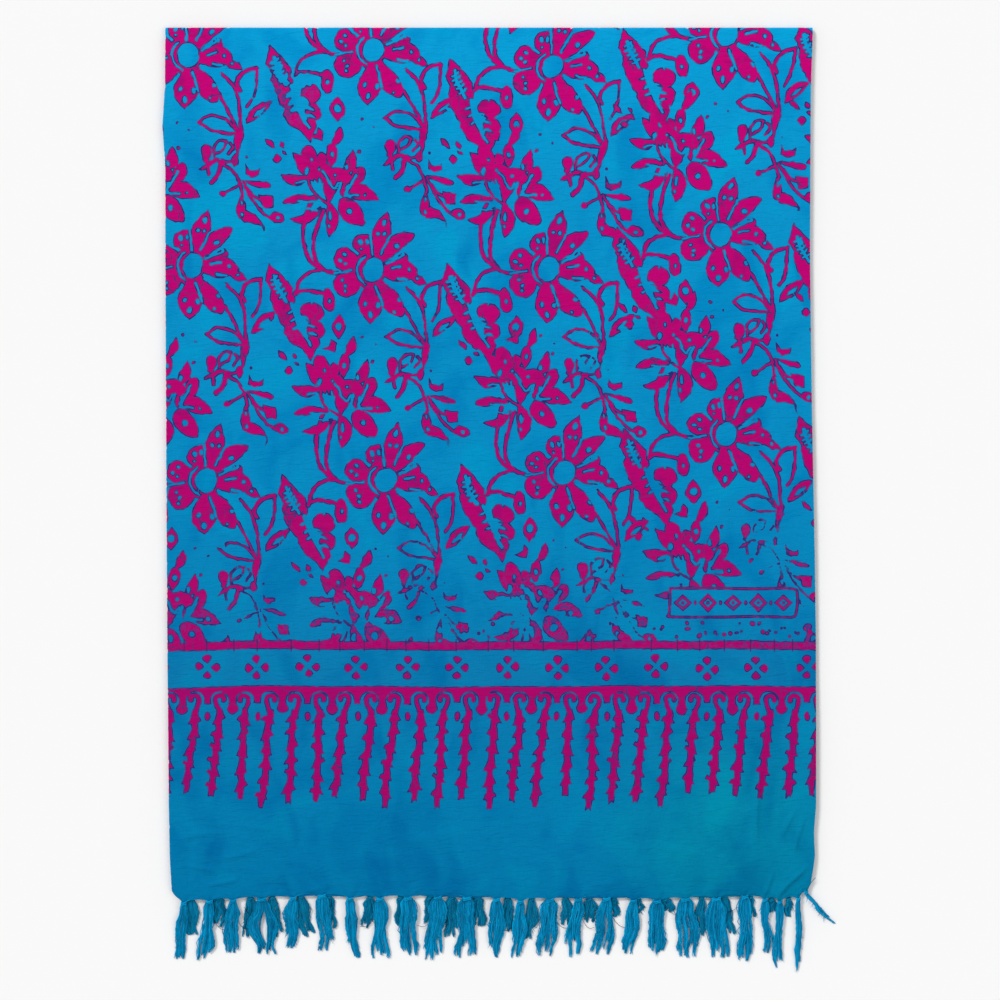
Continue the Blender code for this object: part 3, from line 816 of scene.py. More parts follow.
BACK_TASSELS = (
    Tassel(-264.6, 3.0, 1.0, 32.0, 9.0), Tassel(-239.8, 4.0, -2.0, 26.0, 12.0),
    Tassel(-212.4, 4.5, -2.0, 36.0, 8.0), Tassel(-192.9, 4.5, 4.0, 36.0, 8.0),
    Tassel(-167.3, 5.0, 7.0, 36.0, 9.0), Tassel(-142.5, 5.0, 0.0, 28.0, 8.0),
    Tassel(-106.2, 5.0, -3.0, 28.0, 9.0), Tassel(-78.8, 5.0, 0.0, 26.0, 8.0),
    Tassel(-53.1, 5.0, -1.0, 24.0, 8.0), Tassel(-33.6, 5.0, -2.0, 36.0, 10.0),
    Tassel(-10.6, 4.5, 0.0, 26.0, 10.0), Tassel(15.9, 4.0, 0.0, 30.0, 8.0),
    Tassel(37.2, 3.5, -2.0, 36.0, 8.0), Tassel(67.3, 4.0, 1.0, 24.0, 8.0),
    Tassel(88.5, 4.0, 0.0, 22.0, 8.0), Tassel(109.7, 4.0, 0.0, 18.0, 8.0),
    Tassel(131.0, 4.0, 0.0, 14.0, 7.0), Tassel(155.8, 3.5, 0.0, 12.0, 11.0),
    Tassel(187.6, 4.5, 0.0, 34.0, 7.0), Tassel(208.0, 5.0, 2.0, 34.0, 9.0),
    Tassel(231.0, 5.0, 1.0, 18.0, 6.0), Tassel(249.6, 3.0, 0.0, 12.0, 7.0),
    Tassel(264.6, 3.0, 0.0, 16.0, 5.0),
)
SCALLOP = 2.2  # mm that the hem arches up between two knots
HEM_CORNERS = (  # mm across and above the hem, where its left and right corners round off
    [(-290.0, 20.0), (-284.0, 15.0), (-281.8, 10.5), (-280.0, 7.6), (-277.0, 4.6), (-274.0, 2.4)],
    [(284.0, 17.0), (290.0, 24.0)],
)


def rise_at(x, tassels):
    """How high the hem's edge stands above its lowest line, at points across."""
    line = list(HEM_CORNERS[0])
    for tassel, following in zip(tassels, tassels[1:]):
        gap = following.x - tassel.x
        line.append((tassel.x, tassel.rise))
        for share in (0.2, 0.4, 0.6, 0.8):
            level = tassel.rise + (following.rise - tassel.rise) * share
            line.append((tassel.x + gap * share, level + SCALLOP * math.sin(math.pi * share) ** 0.7))
    line += [(tassels[-1].x, tassels[-1].rise), *HEM_CORNERS[1]]
    return np.interp(x, *np.array(line).T)


# The soft ridges and troughs of the front, in mm: the middle of each, its heading in
# degrees from across, its length and width, and how high it stands or how deep it lies
Crease = namedtuple("Crease", "x y heading length width height")
CREASES = (
    Crease(273, -275, 88, 110, 7, 0.8), Crease(266, -333, 55, 46, 5, 1.0),
    Crease(236, -290, 86, 96, 5, 0.6), Crease(238, -265, 87, 84, 1.7, 1.7),
    Crease(264, -286, 60, 34, 1.8, 1.8), Crease(273, -297, 72, 34, 1.8, 1.7),
    Crease(274, -305, 100, 48, 2.4, -0.7), Crease(246, -342, 74, 30, 1.8, 1.7),
    Crease(268, -336, 46, 42, 2.1, 2.4), Crease(258, -347, 62, 26, 1.8, 1.8),
    Crease(252, -348, 80, 22, 1.8, 0.5), Crease(282, -230, 89, 130, 4.5, 0.8),
    Crease(276, -110, 90, 60, 5, -0.5), Crease(-262, -297, 6, 34, 1.9, 1.3),
    Crease(-236, -338, 12, 34, 1.9, 1.4), Crease(-254, -326, -8, 34, 1.8, 1.2),
    Crease(-266, -322, 87, 52, 4, -0.7), Crease(-259, -318, 88, 40, 2.5, 0.4),
    Crease(-222, -314, 9, 40, 1.9, 1.2), Crease(-206, -290, -4, 40, 2.2, 0.9),
    Crease(-150, -344, 14, 50, 2.6, 0.9), Crease(-60, -300, 5, 80, 3.4, 0.65),
    Crease(40, -320, -6, 90, 3.5, 0.7), Crease(110, -338, 10, 60, 3.4, 0.8),
    Crease(160, -310, -12, 70, 3.4, 0.8), Crease(-120, -312, -4, 70, 3, -0.35),
    Crease(200, -345, 20, 44, 3, 0.45), Crease(-190, -332, 4, 60, 2.6, 0.35),
    Crease(-20, -345, -3, 66, 2.6, 0.3), Crease(75, -300, 8, 50, 2.6, -0.3),
    Crease(-281, 60, 88, 120, 4, -0.4), Crease(-279, 230, 92, 90, 4, 0.4),
    Crease(-140, 330, 60, 90, 14, 0.45), Crease(60, 220, 120, 110, 15, 0.42),
    Crease(150, 60, 70, 100, 14, 0.45), Crease(-200, 120, 110, 120, 15, 0.42),
    Crease(-20, -40, 80, 130, 16, 0.45), Crease(205, 330, 95, 80, 12, 0.45),
    Crease(270, 345, 92, 60, 8, 0.4), Crease(258, -60, 80, 40, 6, 0.4),
    Crease(150, -190, 15, 90, 6, 0.4), Crease(-90, -180, -8, 100, 7, 0.35),
)


def relief(x, y, up, knots):
    """How far the layer stands up from flat at these points, in mm."""
    height = 0.5 * (cloudy(x, y, 46, 51) - 0.5) + 0.24 * (cloudy(x, y, 15, 52) - 0.5)
    for crease in CREASES:
        heading = math.radians(crease.heading)
        bend = 0.06 * crease.length * np.sin(4 * (x + y) / crease.length)
        along = (x - crease.x) * math.cos(heading) + (y - crease.y) * math.sin(heading)
        across = (y - crease.y) * math.cos(heading) - (x - crease.x) * math.sin(heading) + 0.3 * bend
        taper = np.clip(1 - (2 * along / crease.length) ** 2, 0, 1)
        height = height + crease.height * taper * np.exp(-((across / crease.width) ** 2))
    for number, knot in enumerate(knots):
        near = abs(x - knot.x) < 16
        dx, dy = x[near] - knot.x, up[near] + 2.5
        out = np.hypot(dx, dy)
        spokes = np.cos(np.arctan2(dx, dy) * (4.4 + number % 3) + number)
        height[near] += 1.1 * spokes * np.exp(-out / 7.0) * np.clip(out / 2.5, 0, 1)
    rolled = np.clip((up - 40) / 40, 0, 1) * np.clip((200 - up) / 40, 0, 1)
    height = height + (0.15 + 0.7 * rolled) * np.exp(-(((HALF_WIDTH - x) / 4.5) ** 2))
    return height


def folded(points):
    """Where points of the flat cloth come to lie, in metres."""
    across, along = points[:, 0], points[:, 1]
    turn = np.clip((along - FOLD_START) / (STACK / 2), 0, math.pi)
    past = along > FOLD_START + FOLD_LONG
    back = (CUT_LENGTH - along) * FOLD_START / (CUT_LENGTH - FOLD_START - FOLD_LONG)
    up = np.where(past, back, np.minimum(along, FOLD_START))
    share = np.clip((across + HALF_WIDTH) / (2 * HALF_WIDTH), 0, 1)
    heights = [side.up for side in SIDES]
    left = -np.interp(up, heights, [side.left for side in SIDES])
    right = np.interp(up, heights, [side.right for side in SIDES])
    inwards = np.clip(-HALF_WIDTH + CURL - across, 0, None)
    curl = np.minimum(inwards / CURL, math.pi)
    flat_x = np.maximum(across, -HALF_WIDTH + CURL) + left * (1 - share) + right * share
    x = flat_x - CURL * np.sin(curl) + np.clip(inwards - math.pi * CURL, 0, None)
    inset = CURL * (1 - np.cos(curl))
    radius = STACK / 2 - inset
    under = turn > math.pi / 2
    rise = np.where(under, rise_at(x, BACK_TASSELS), rise_at(x, FRONT_TASSELS))
    rise = rise * np.clip(1 - up / 40, 0, 1) ** 1.5
    y = HEM_Y + up + rise + radius * np.sin(turn)
    z = STACK / 2 + radius * np.cos(turn)
    stand = np.where(curl < 1.0, 1.0, 0.0) * np.clip((FOLD_START - up + 8) / 20, 0.25, 1)
    raised = relief(x, y, up, FRONT_TASSELS)
    z = np.where(under, z + 0.05 + 0.12 * cloudy(x, y, 30, 53), z + stand * raised)
    hem_sinks = np.where(under, 0.0, 0.9 * np.exp(-up / 4.0))
    return np.column_stack([x, y, np.maximum(z - hem_sinks, 0.02)]) / 1000


def cloth_piece(name, points, faces, attributes):
    """A piece from flat points in mm, with the print's attributes and its own map."""
    mesh = bpy.data.meshes.new(name)
    mesh.from_pydata(folded(points).tolist(), [], faces.tolist())
    for attribute, values in attributes.items():
        made = mesh.attributes.new(attribute, "FLOAT", "POINT")
        made.data.foreach_set("value", np.asarray(values, np.float32))
    cut = mesh.uv_layers.new(name="cut")
    corners = np.empty(len(mesh.loops), np.int32)
    mesh.loops.foreach_get("vertex_index", corners)
    cut.data.foreach_set("uv", (points[corners] / 1000).astype(np.float32).ravel())
    mesh.shade_smooth()
    piece = bpy.data.objects.new(name, mesh)
    bpy.context.scene.collection.objects.link(piece)
    return piece


def printed_piece(name, low, high, tolerance, pitch, dense, seed):
    """One length of the printed cloth, with how far each vertex is inside the print."""
    points, faces = cut_sheet(low, high, tolerance, pitch, dense, seed)
    ink = cloth_print.depth_at(points[:, 0], points[:, 1])
    return cloth_piece(name, points, faces, {
        "ink": np.clip(ink, -EDGE_REACH, EDGE_REACH),
        "thin": np.clip(thin_at(points[:, 0], points[:, 1]), 0, 1),
    })


def dye(red, green, blue):
    """A colour as a dyer's card gives it, from 0 to 255, made linear."""
    shares = [value / 255 for value in (red, green, blue)]
    return (*[s / 12.92 if s < 0.04045 else ((s + 0.055) / 1.055) ** 2.4 for s in shares], 1.0)


class Finish:
    """A material, with one short call for each of its nodes."""

    def __init__(self, name):
        self.material = bpy.data.materials.new(name)
        self.material.use_nodes = True
        self.tree = self.material.node_tree
        self.surface = self.tree.nodes["Principled BSDF"]

    def add(self, kind, inputs, output=0, **settings):
        node = self.tree.nodes.new(kind)
        for setting, value in settings.items():
            setattr(node, setting, value)
        for socket, value in inputs.items():
            self.put(node.inputs[socket], value)
        return node.outputs[output]

    def put(self, socket, value):
        if isinstance(value, bpy.types.NodeSocket):
            self.tree.links.new(value, socket)
        else:
            socket.default_value = value

    def sum(self, kind, first, second=0.0, clamp=False):
        return self.add("ShaderNodeMath", {0: first, 1: second}, operation=kind, use_clamp=clamp)

    def between(self, value, low, high, to_low=0.0, to_high=1.0, smooth=True):
        return self.add(
            "ShaderNodeMapRange",
            {"Value": value, "From Min": low, "From Max": high, "To Min": to_low, "To Max": to_high},
            interpolation_type="SMOOTHSTEP" if smooth else "LINEAR",
        )

    def colour(self, share, first, second, kind="MIX"):
        return self.add("ShaderNodeMix", {0: share, 6: first, 7: second}, 2,
                        data_type="RGBA", blend_type=kind)

    def stretched(self, vector, scale):
        return self.add("ShaderNodeVectorMath", {0: vector, 1: scale}, operation="MULTIPLY")

    def cloud(self, vector, scale, detail=2.0, roughness=0.5, distortion=0.0):
        return self.add("ShaderNodeTexNoise", {
            "Vector": vector, "Scale": scale, "Detail": detail, "Roughness": roughness,
            "Distortion": distortion,
        })

    def bump(self, height, metres, strength=1.0, under=None):
        inputs = {"Height": height, "Distance": metres, "Strength": strength}
        if under is not None:
            inputs["Normal"] = under
        return self.add("ShaderNodeBump", inputs)


def dyed_ground(finish, mm, place, y_metres):
    """The blue ground: lighter towards the top, clouded where the dye pooled."""
    height = finish.between(y_metres, HEM_Y / 1000, TOP_Y / 1000, smooth=False)
    ramp = finish.tree.nodes.new("ShaderNodeValToRGB")
    shades = (
        (0.00, dye(2, 117, 167)), (0.12, dye(4, 123, 173)), (0.25, dye(12, 120, 172)),
        (0.35, dye(8, 129, 182)), (0.48, dye(7, 137, 191)), (0.66, dye(9, 142, 197)),
        (0.82, dye(10, 147, 202)), (0.92, dye(9, 153, 209)), (1.00, dye(9, 158, 215)),
    )
    while len(ramp.color_ramp.elements) < len(shades):
        ramp.color_ramp.elements.new(0.5)
    for element, (position, shade) in zip(ramp.color_ramp.elements, shades):
        element.position = position
        element.color = shade
    finish.put(ramp.inputs["Fac"], height)
    ground = ramp.outputs["Color"]
    pools = finish.cloud(mm, 0.015, 2.0, 0.55, 0.8)
    deep = finish.between(pools, 0.50, 0.68)
    ground = finish.colour(deep, ground, (0.3, 0.87, 0.94, 1), "MULTIPLY")
    pale = finish.between(pools, 0.47, 0.32)
    ground = finish.colour(pale, ground, (0.5, 1.12, 1.04, 1), "MULTIPLY")
    drips = finish.cloud(finish.stretched(mm, (0.024, 0.012, 1.0)), 1.0, 2.0, 0.5, 0.7)
    deep = finish.between(drips, 0.48, 0.74)
    ground = finish.colour(deep, ground, (0.3, 0.79, 0.89, 1), "MULTIPLY")
    # The dye ran greener into the corner by the selvages
    corner = finish.add("ShaderNodeVectorMath", {0: place, 1: (0.215, -0.30, 0)}, 1, operation="DISTANCE")
    corner = finish.between(corner, 0.15, 0.03)
    ground = finish.colour(corner, ground, (1.0, 1.16, 0.93, 1), "MULTIPLY")
    return ground, height


def cloth_hand(finish, mm, strength):
    """The feel of the cloth: crinkles from washing, slubs in the yarn and its weave."""
    crinkle = finish.cloud(finish.stretched(mm, (0.055, 0.20, 1.0)), 1.0, 2.0, 0.6, 1.2)
    slub = finish.cloud(finish.stretched(mm, (0.12, 1.7, 1.0)), 1.0, 1.0, 0.5)
    warp = finish.cloud(finish.stretched(mm, (1.9, 0.10, 1.0)), 1.0, 1.0, 0.5)
    threads = finish.add("ShaderNodeTexChecker", {"Vector": mm, "Scale": 2.6}, 1)
    normal = finish.bump(crinkle, 0.0011, strength)
    normal = finish.bump(slub, 0.00010, 1.0, normal)
    normal = finish.bump(warp, 0.00008, 1.0, normal)
    return finish.bump(threads, 0.00002, 0.6, normal), slub, warp


def printed_viscose():
    """The printed side: blue ground, magenta print, and navy where the two meet."""
    finish = Finish("wax_printed_viscose")
    cut = finish.add("ShaderNodeUVMap", {}, uv_map="cut")
    mm = finish.stretched(cut, (1000, 1000, 1000))
    place = finish.add("ShaderNodeTexCoord", {}, "Object")
    y_metres = finish.add("ShaderNodeSeparateXYZ", {0: place}, 1)
    ground, height = dyed_ground(finish, mm, place, y_metres)
    ink = finish.add("ShaderNodeAttribute", {}, "Fac", attribute_name="ink")
    thin = finish.add("ShaderNodeAttribute", {}, "Fac", attribute_name="thin")

    # The wax feathers along the threads, so the edge of the print wanders a little
    feather = finish.sum("SUBTRACT", finish.cloud(mm, 0.75, 2.0, 0.6), 0.5)
    edge = finish.add("ShaderNodeMath", {0: feather, 1: 0.75, 2: ink}, operation="MULTIPLY_ADD")
    inked = finish.between(edge, -0.14, 0.14)

    # Magenta, deeper and duller towards the hem and where the blue got under the wax
    magenta = finish.colour(height, dye(157, 6, 97), dye(198, 2, 117))
    blotch = finish.cloud(mm, 0.045, 2.0, 0.62, 0.8)
    duller = finish.between(blotch, 0.52, 0.70)
    magenta = finish.colour(finish.sum("MULTIPLY", duller, 0.55), magenta, dye(142, 12, 108))
    fleck = finish.between(finish.cloud(mm, 0.33, 2.0, 0.65), 0.60, 0.72)
    magenta = finish.colour(finish.sum("MULTIPLY", fleck, 0.5), magenta, dye(108, 28, 112))
    leak = finish.between(finish.cloud(mm, 0.19, 2.0, 0.7), 0.57, 0.43)
    leak = finish.sum("MULTIPLY", leak, finish.between(thin, 0.05, 0.9, 0.0, 0.85))
    magenta = finish.colour(leak, magenta, dye(44, 58, 134))

    # The dark line where both dyes meet
    blur = finish.add("ShaderNodeMath", {0: feather, 1: 0.25, 2: ink}, operation="MULTIPLY_ADD")
    meeting = finish.between(finish.sum("ABSOLUTE", blur), 0.68, 0.50)
    uneven = finish.between(finish.cloud(mm, 0.10, 1.0, 0.6), 0.32, 0.60, 0.50, 1.0)
    line = finish.sum("MULTIPLY", meeting, uneven, True)
    colour = finish.colour(inked, ground, magenta)
    colour = finish.colour(line, colour, dye(46, 44, 112))

    # Hair cracks in the wax, which let the blue in
    cell = finish.add("ShaderNodeTexVoronoi", {
        "Vector": finish.add("ShaderNodeVectorMath", {
            0: mm, 1: finish.stretched(
                finish.add("ShaderNodeTexNoise", {"Vector": mm, "Scale": 0.12}, "Color"), (9, 9, 0)),
        }, operation="ADD"), "Scale": 0.055,
    }, "Distance", feature="DISTANCE_TO_EDGE")
    crack = finish.between(cell, 0.030, 0.008)
    some = finish.between(finish.cloud(mm, 0.03, 1.0), 0.50, 0.60)
    crack = finish.sum("MULTIPLY", finish.sum("MULTIPLY", crack, some), finish.sum("MULTIPLY", inked, 0.8))
    colour = finish.colour(crack, colour, dye(60, 44, 112))

    # The stripe's wax was ruled on in short lengths, and broke across at each join
    along = finish.add("ShaderNodeSeparateXYZ", {0: cut}, 1)
    off = finish.sum("ABSOLUTE", finish.sum("SUBTRACT", along, (STRIPE_LOW + STRIPE_HIGH) / 2000))
    on_stripe = finish.sum("LESS_THAN", off, 0.0056)
    joins = finish.add("ShaderNodeTexVoronoi", {
        "W": finish.add("ShaderNodeSeparateXYZ", {0: cut}, 0), "Scale": 44.0,
    }, "Distance", voronoi_dimensions="1D", feature="DISTANCE_TO_EDGE")
    broken = finish.sum("MULTIPLY", finish.between(joins, 0.045, 0.015), on_stripe)
    colour = finish.colour(finish.sum("MULTIPLY", broken, 0.75), colour, dye(58, 34, 100))

    normal, slub, warp = cloth_hand(finish, mm, 1.0)
    shade = finish.sum("ADD", finish.between(slub, 0.3, 0.7, -0.035, 0.035),
                       finish.between(warp, 0.3, 0.7, -0.03, 0.03))
    colour = finish.add("ShaderNodeHueSaturation", {
        "Value": finish.sum("ADD", shade, 1.0), "Color": colour,
    })
    finish.put(finish.surface.inputs["Base Color"], colour)
    finish.put(finish.surface.inputs["Normal"], normal)
    finish.surface.inputs["Roughness"].default_value = 0.6
    finish.surface.inputs["Specular IOR Level"].default_value = 0.03
    finish.surface.inputs["Specular Tint"].default_value = (0.25, 0.6, 1.0, 1.0)
    finish.surface.inputs["Sheen Weight"].default_value = 0.02
    finish.surface.inputs["Sheen Roughness"].default_value = 0.4
    finish.surface.inputs["Sheen Tint"].default_value = (0.2, 0.6, 1.0, 1.0)
    return finish.material


viscose = printed_viscose()
# Areas with closer points: left, right, low and high in mm, and their pitch
front_close = ((-HALF_WIDTH, HALF_WIDTH, 0.6, 30, 2.3), (226, HALF_WIDTH, 2, 112, 1.8),
               (-HALF_WIDTH, -200, 2, 78, 2.0), (-200, 226, 30, 86, 3.6))
under_close = ((-HALF_WIDTH, HALF_WIDTH, 1520, 1549.4, 4.0),)
FRONT_LONG = 780.14  # mm from the front hem to where the cloth lies flat again below the fold
cloth_front = printed_piece("printed_front", 0.0, FRONT_LONG, 0.21, 7.9, front_close, 1)
cloth_under = printed_piece("printed_underside", FRONT_LONG, CUT_LENGTH, 0.17, 11.0, under_close, 2)
for piece in (cloth_front, cloth_under):
    piece.data.materials.append(viscose)
    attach(piece, "root")
    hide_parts("outer_cloth")


# ---------------------------------------------------------------------------
# The two layers inside. They are the other half of the same cloth, folded in at the
# left, and only their selvages at the right and their hems show, a little out of line.
# ---------------------------------------------------------------------------
def inner_layer(low_z, high_z):
    """Points and faces of the inner half, from one hem over the fold to the other."""
    radius = (high_z - low_z) / 2
    straight = 770.0
    places = list(np.linspace(0, straight, 70)) + [straight] * 7 + list(np.linspace(straight, 0, 70))
    turns = [0.0] * 70 + list(np.linspace(0, math.pi, 9)[1:-1]) + [math.pi] * 70
    across = np.concatenate([np.linspace(-280, 262, 46), np.linspace(268, 288, 9)])
    rows = []
    for up, turn in zip(places, turns):
        right_in = 1.2 + 2.2 * math.sin(up / 57 + turn) + 1.0 * math.sin(up / 23 + 2 * turn)
        share = (across + 280) / 568
        heights = [side.up for side in SIDES]
        x = across - share * (0.5 + max(right_in, 0))
        x = x - np.interp(up, heights, [side.left for side in SIDES]) * (1 - share)
        x = x + np.interp(up, heights, [side.right for side in SIDES]) * share
        hem = 4.4 + 1.1 * np.sin(x / 19 + 2 * turn) + np.maximum(rise_at(x, FRONT_TASSELS) - 5, 0)
        y = HEM_Y + up + hem * max(0, 1 - up / 60) + radius * math.sin(turn)
        wave = 0.22 * (cloudy(x, y, 18, 61 + round(turn)) - 0.5)
        z = (low_z + high_z) / 2 + radius * math.cos(turn) + wave
        rows.append(np.column_stack([x, y, z]) / 1000)
    wide = len(across)
    grid = np.arange(len(rows) * wide).reshape(len(rows), wide)
    faces = np.stack([grid[:-1, :-1], grid[:-1, 1:], grid[1:, 1:], grid[1:, :-1]], -1)
    return np.vstack(rows), faces.reshape(-1, 4)


def plain_viscose_painted_shade():
    """The cloth's own blue, darkened as painted shade where the inside layers lie between the outer ones.
    """
    finish = Finish("plain_side_of_viscose_painted_shade")
    place = finish.add("ShaderNodeTexCoord", {}, "Object")
    mm = finish.stretched(place, (1000, 1000, 1000))
    y_metres = finish.add("ShaderNodeSeparateXYZ", {0: place}, 1)
    ground, _ = dyed_ground(finish, mm, place, y_metres)
    # Painted shade: the blue is mixed 22 percent towards dark navy for the layers under the outer one
    ground = finish.colour(0.22, ground, dye(0, 62, 110))
    normal, *_ = cloth_hand(finish, mm, 0.8)
    finish.put(finish.surface.inputs["Base Color"], ground)
    finish.put(finish.surface.inputs["Normal"], normal)
    finish.surface.inputs["Roughness"].default_value = 0.7
    finish.surface.inputs["Specular IOR Level"].default_value = 0.03
    return finish.material


points, faces = inner_layer(low_z=1.35, high_z=3.45)
mesh = bpy.data.meshes.new("inner_layers")
mesh.from_pydata(points.tolist(), [], faces.tolist())
mesh.shade_smooth()
inner_layers = bpy.data.objects.new("inner_layers", mesh)
bpy.context.scene.collection.objects.link(inner_layers)
inner_layers.data.materials.append(plain_viscose_painted_shade())
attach(inner_layers, "root")
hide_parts("hidden_layers")


# ---------------------------------------------------------------------------
# The fringe. The cloth's own warp is left unwoven past each hem, and every inch or so
# a bundle of it is tied in one overhand knot. The yarn is soft and lightly twisted, so
# each bundle lies flat, waves, splits and frays at its cut end.
# ---------------------------------------------------------------------------
# How a bundle changes on its way down: its share of the full width, and its height in
# mm above the floor in the front row and in the back one
Section = namedtuple("Section", "down width front back")
SECTIONS = (
    Section(0.00, 0.44, 3.75, 1.15), Section(0.04, 0.66, 3.85, 1.25), Section(0.09, 0.80, 3.55, 1.15),
    Section(0.20, 0.92, 3.25, 1.00), Section(0.40, 1.00, 2.60, 0.85), Section(0.70, 1.02, 1.60, 0.60),
    Section(1.00, 1.05, 0.50, 0.40),
)


STRAND, HEM_THREAD, KNOT_STRAND, LOOSE_THREAD = 0.50, 0.26, 0.42, 0.24  # mm, radii


def swept(paths, radii, sides):
    """Points and faces of yarns along the paths, all with as many points."""
    paths, radii = np.array(paths), np.array(radii)
    ahead = np.gradient(paths, axis=1)
    ahead /= np.linalg.norm(ahead, axis=2, keepdims=True) + 1e-9
    side = np.cross(ahead, (0.0, 0.0, 1.0))
    side /= np.linalg.norm(side, axis=2, keepdims=True) + 1e-9
    over = np.cross(side, ahead)
    angles = np.arange(sides) * 2 * math.pi / sides
    ring = (side[:, :, None] * np.cos(angles)[:, None] + over[:, :, None] * np.sin(angles)[:, None])
    points = paths[:, :, None] + ring * radii[:, :, None, None]
    yarns, steps = paths.shape[:2]
    index = np.arange(yarns * steps * sides).reshape(yarns, steps, sides)
    turned = np.roll(index, -1, axis=2)
    quads = np.stack([index[:, :-1], turned[:, :-1], turned[:, 1:], index[:, 1:]], -1)
    caps = [index[:, 0], index[:, -1, ::-1]]
    return points.reshape(-1, 3), quads.reshape(-1, 4), np.vstack(caps)


def tassel_piece(name, tassel, front, seed, yarn):
    """One knotted bundle of yarn, with the threads that run along the hem to it."""
    rough = np.random.default_rng(seed)
    steps, sides = 14, 3
    count = int(30 + 6.4 * tassel.width)
    down = np.linspace(0, 1, steps) ** 0.9
    locks = max(2, round(tassel.width / 2.1))
    lock = np.sort(rough.integers(0, locks, count))
    middle_of = (np.arange(locks) + 0.5) / locks * 2 - 1
    reach = 1 - 0.30 * rough.random(locks) ** 2.0
    reach[rough.integers(0, locks)] = 1.0
    place = np.linspace(-1, 1, count) + rough.normal(0, 0.06, count)
    length = tassel.length * (reach[lock] - 0.12 * rough.random(count) ** 1.3)
    top = HEM_Y + tassel.rise - 0.4
    sections = [section.down for section in SECTIONS]
    widths = np.array([section.width for section in SECTIONS])
    widths[2:] *= rough.uniform(0.86, 1.18, len(SECTIONS) - 2)
    heights = [section.front if front else section.back for section in SECTIONS]
    wave, phase = rough.uniform(0.5, 1.4), rough.uniform(0, 6.3)
    own_wave = rough.uniform(0.3, 1.1, locks)
    own_phase = rough.uniform(0, 6.3, locks)
    spread = rough.normal(0, 0.08, locks) * tassel.width
    paths, radii = [], []
    for i in range(count):
        k = lock[i]
        d = down * length[i] / tassel.length
        half = tassel.width / 2 * np.interp(d, sections, widths) * (1.1 + 0.14 * np.sin(8 * d + 2 * phase))
        own_end = length[i] / tassel.length
        gather = np.clip((d / own_end - 0.55) / 0.45, 0, 1)
        c = place[i] + (middle_of[k] - place[i]) * 0.26 * gather
        parted = np.sin(math.pi * np.clip((d - 0.22) / 0.62, 0, 1)) ** 0.7
        c = c + tassel.gap / tassel.width * np.sign(place[i] - 0.15) * parted
        x = tassel.x + tassel.lean * d**1.3 + c * half + spread[k] * d**2.2
        x = x + wave * np.sin(6.5 * d + phase) * np.clip(2.5 * d, 0, 1)
        x = x + own_wave[k] * np.sin(10 * d + own_phase[k]) * np.clip(3 * d, 0, 1)
        frizz = 0.20 + 0.34 * abs(place[i]) ** 3
        x = x + frizz * rough.normal(0, 1, steps) * np.clip(3 * d, 0, 1)
        y = top - length[i] * down + 0.12 * rough.normal() * down
        thick = np.interp(d, (0, 0.05, 0.12, 1), (0.8, 1.0, 0.45, 0.25))
        ripple = 0.5 * np.sin(2.4 * k + 3.5 * d + phase) * np.clip(4 * d, 0, 1)
        z = np.interp(d, sections, heights) + ripple
        z = z + thick * rough.uniform(-1, 1) * np.sqrt(np.clip(1.05 - c**2, 0.05, 1))
        paths.append(np.column_stack([x, y, np.maximum(z, 0.34)]))
        radius = STRAND * (1 - 0.25 * rough.random()) * np.ones(steps)
        radius[-1] *= 0.6
        radii.append(radius)
    # Short broken fibres that stand out from the bundle's sides and its end
    for _ in range(int(8 + 1.4 * tassel.width)):
        side = rough.choice((-1, 1))
        from_top = rough.uniform(0.12, 0.78)
        half = tassel.width / 2 * np.interp(from_top, sections, widths)
        t = np.linspace(0, 1, steps)
        x = tassel.x + tassel.lean * from_top**1.3 + side * half * rough.uniform(0.5, 0.9)
        x = x + wave * math.sin(6.5 * from_top + phase) + side * rough.uniform(0.4, 2.8) * t
        y = top - tassel.length * from_top - rough.uniform(1.2, 5.0) * t
        z = np.interp(from_top, sections, heights) + rough.uniform(-0.5, 0.8) * np.ones(steps)
        paths.append(np.column_stack([x, y, np.maximum(z, 0.34)]))
        radii.append(0.34 - 0.20 * t)
    # Threads of the hem's edge, drawn in from both sides
    knots = FRONT_TASSELS if front else BACK_TASSELS
    for offset in np.linspace(-1, 1, 12) * rough.uniform(6.5, 8.5):
        t = np.linspace(0, 1, steps)
        x = tassel.x + offset * (1 - t) ** 1.5 + 0.5 * rough.normal() * t
        y = HEM_Y + rise_at(x, knots) + 0.35 - 1.6 * t**2
        z = (3.75 if front else 1.0) + 0.15 * rough.normal() * np.ones(steps)
        paths.append(np.column_stack([x, y, np.maximum(z, 0.45)]))
        radii.append(HEM_THREAD * np.ones(steps))
    # The knot: its strands pass over and under each other
    wide = 0.20 * tassel.width + 0.8
    for slant, lift in ((1.5, 0.2), (-1.3, -0.3), (0.9, -1.1), (-0.6, 0.7), (0.3, 0.1)):
        a = np.linspace(0, 2 * math.pi, steps) + rough.uniform(0, 6.3)
        x = tassel.x + wide * np.cos(a)
        y = top - 0.2 + lift + slant * np.cos(a) * 0.8 + 0.35 * np.sin(2 * a)
        z = (4.35 if front else 1.5) + 1.05 * np.sin(a)
        paths.append(np.column_stack([x, y, np.maximum(z, 0.5)]))
        radii.append(KNOT_STRAND * np.ones(steps))
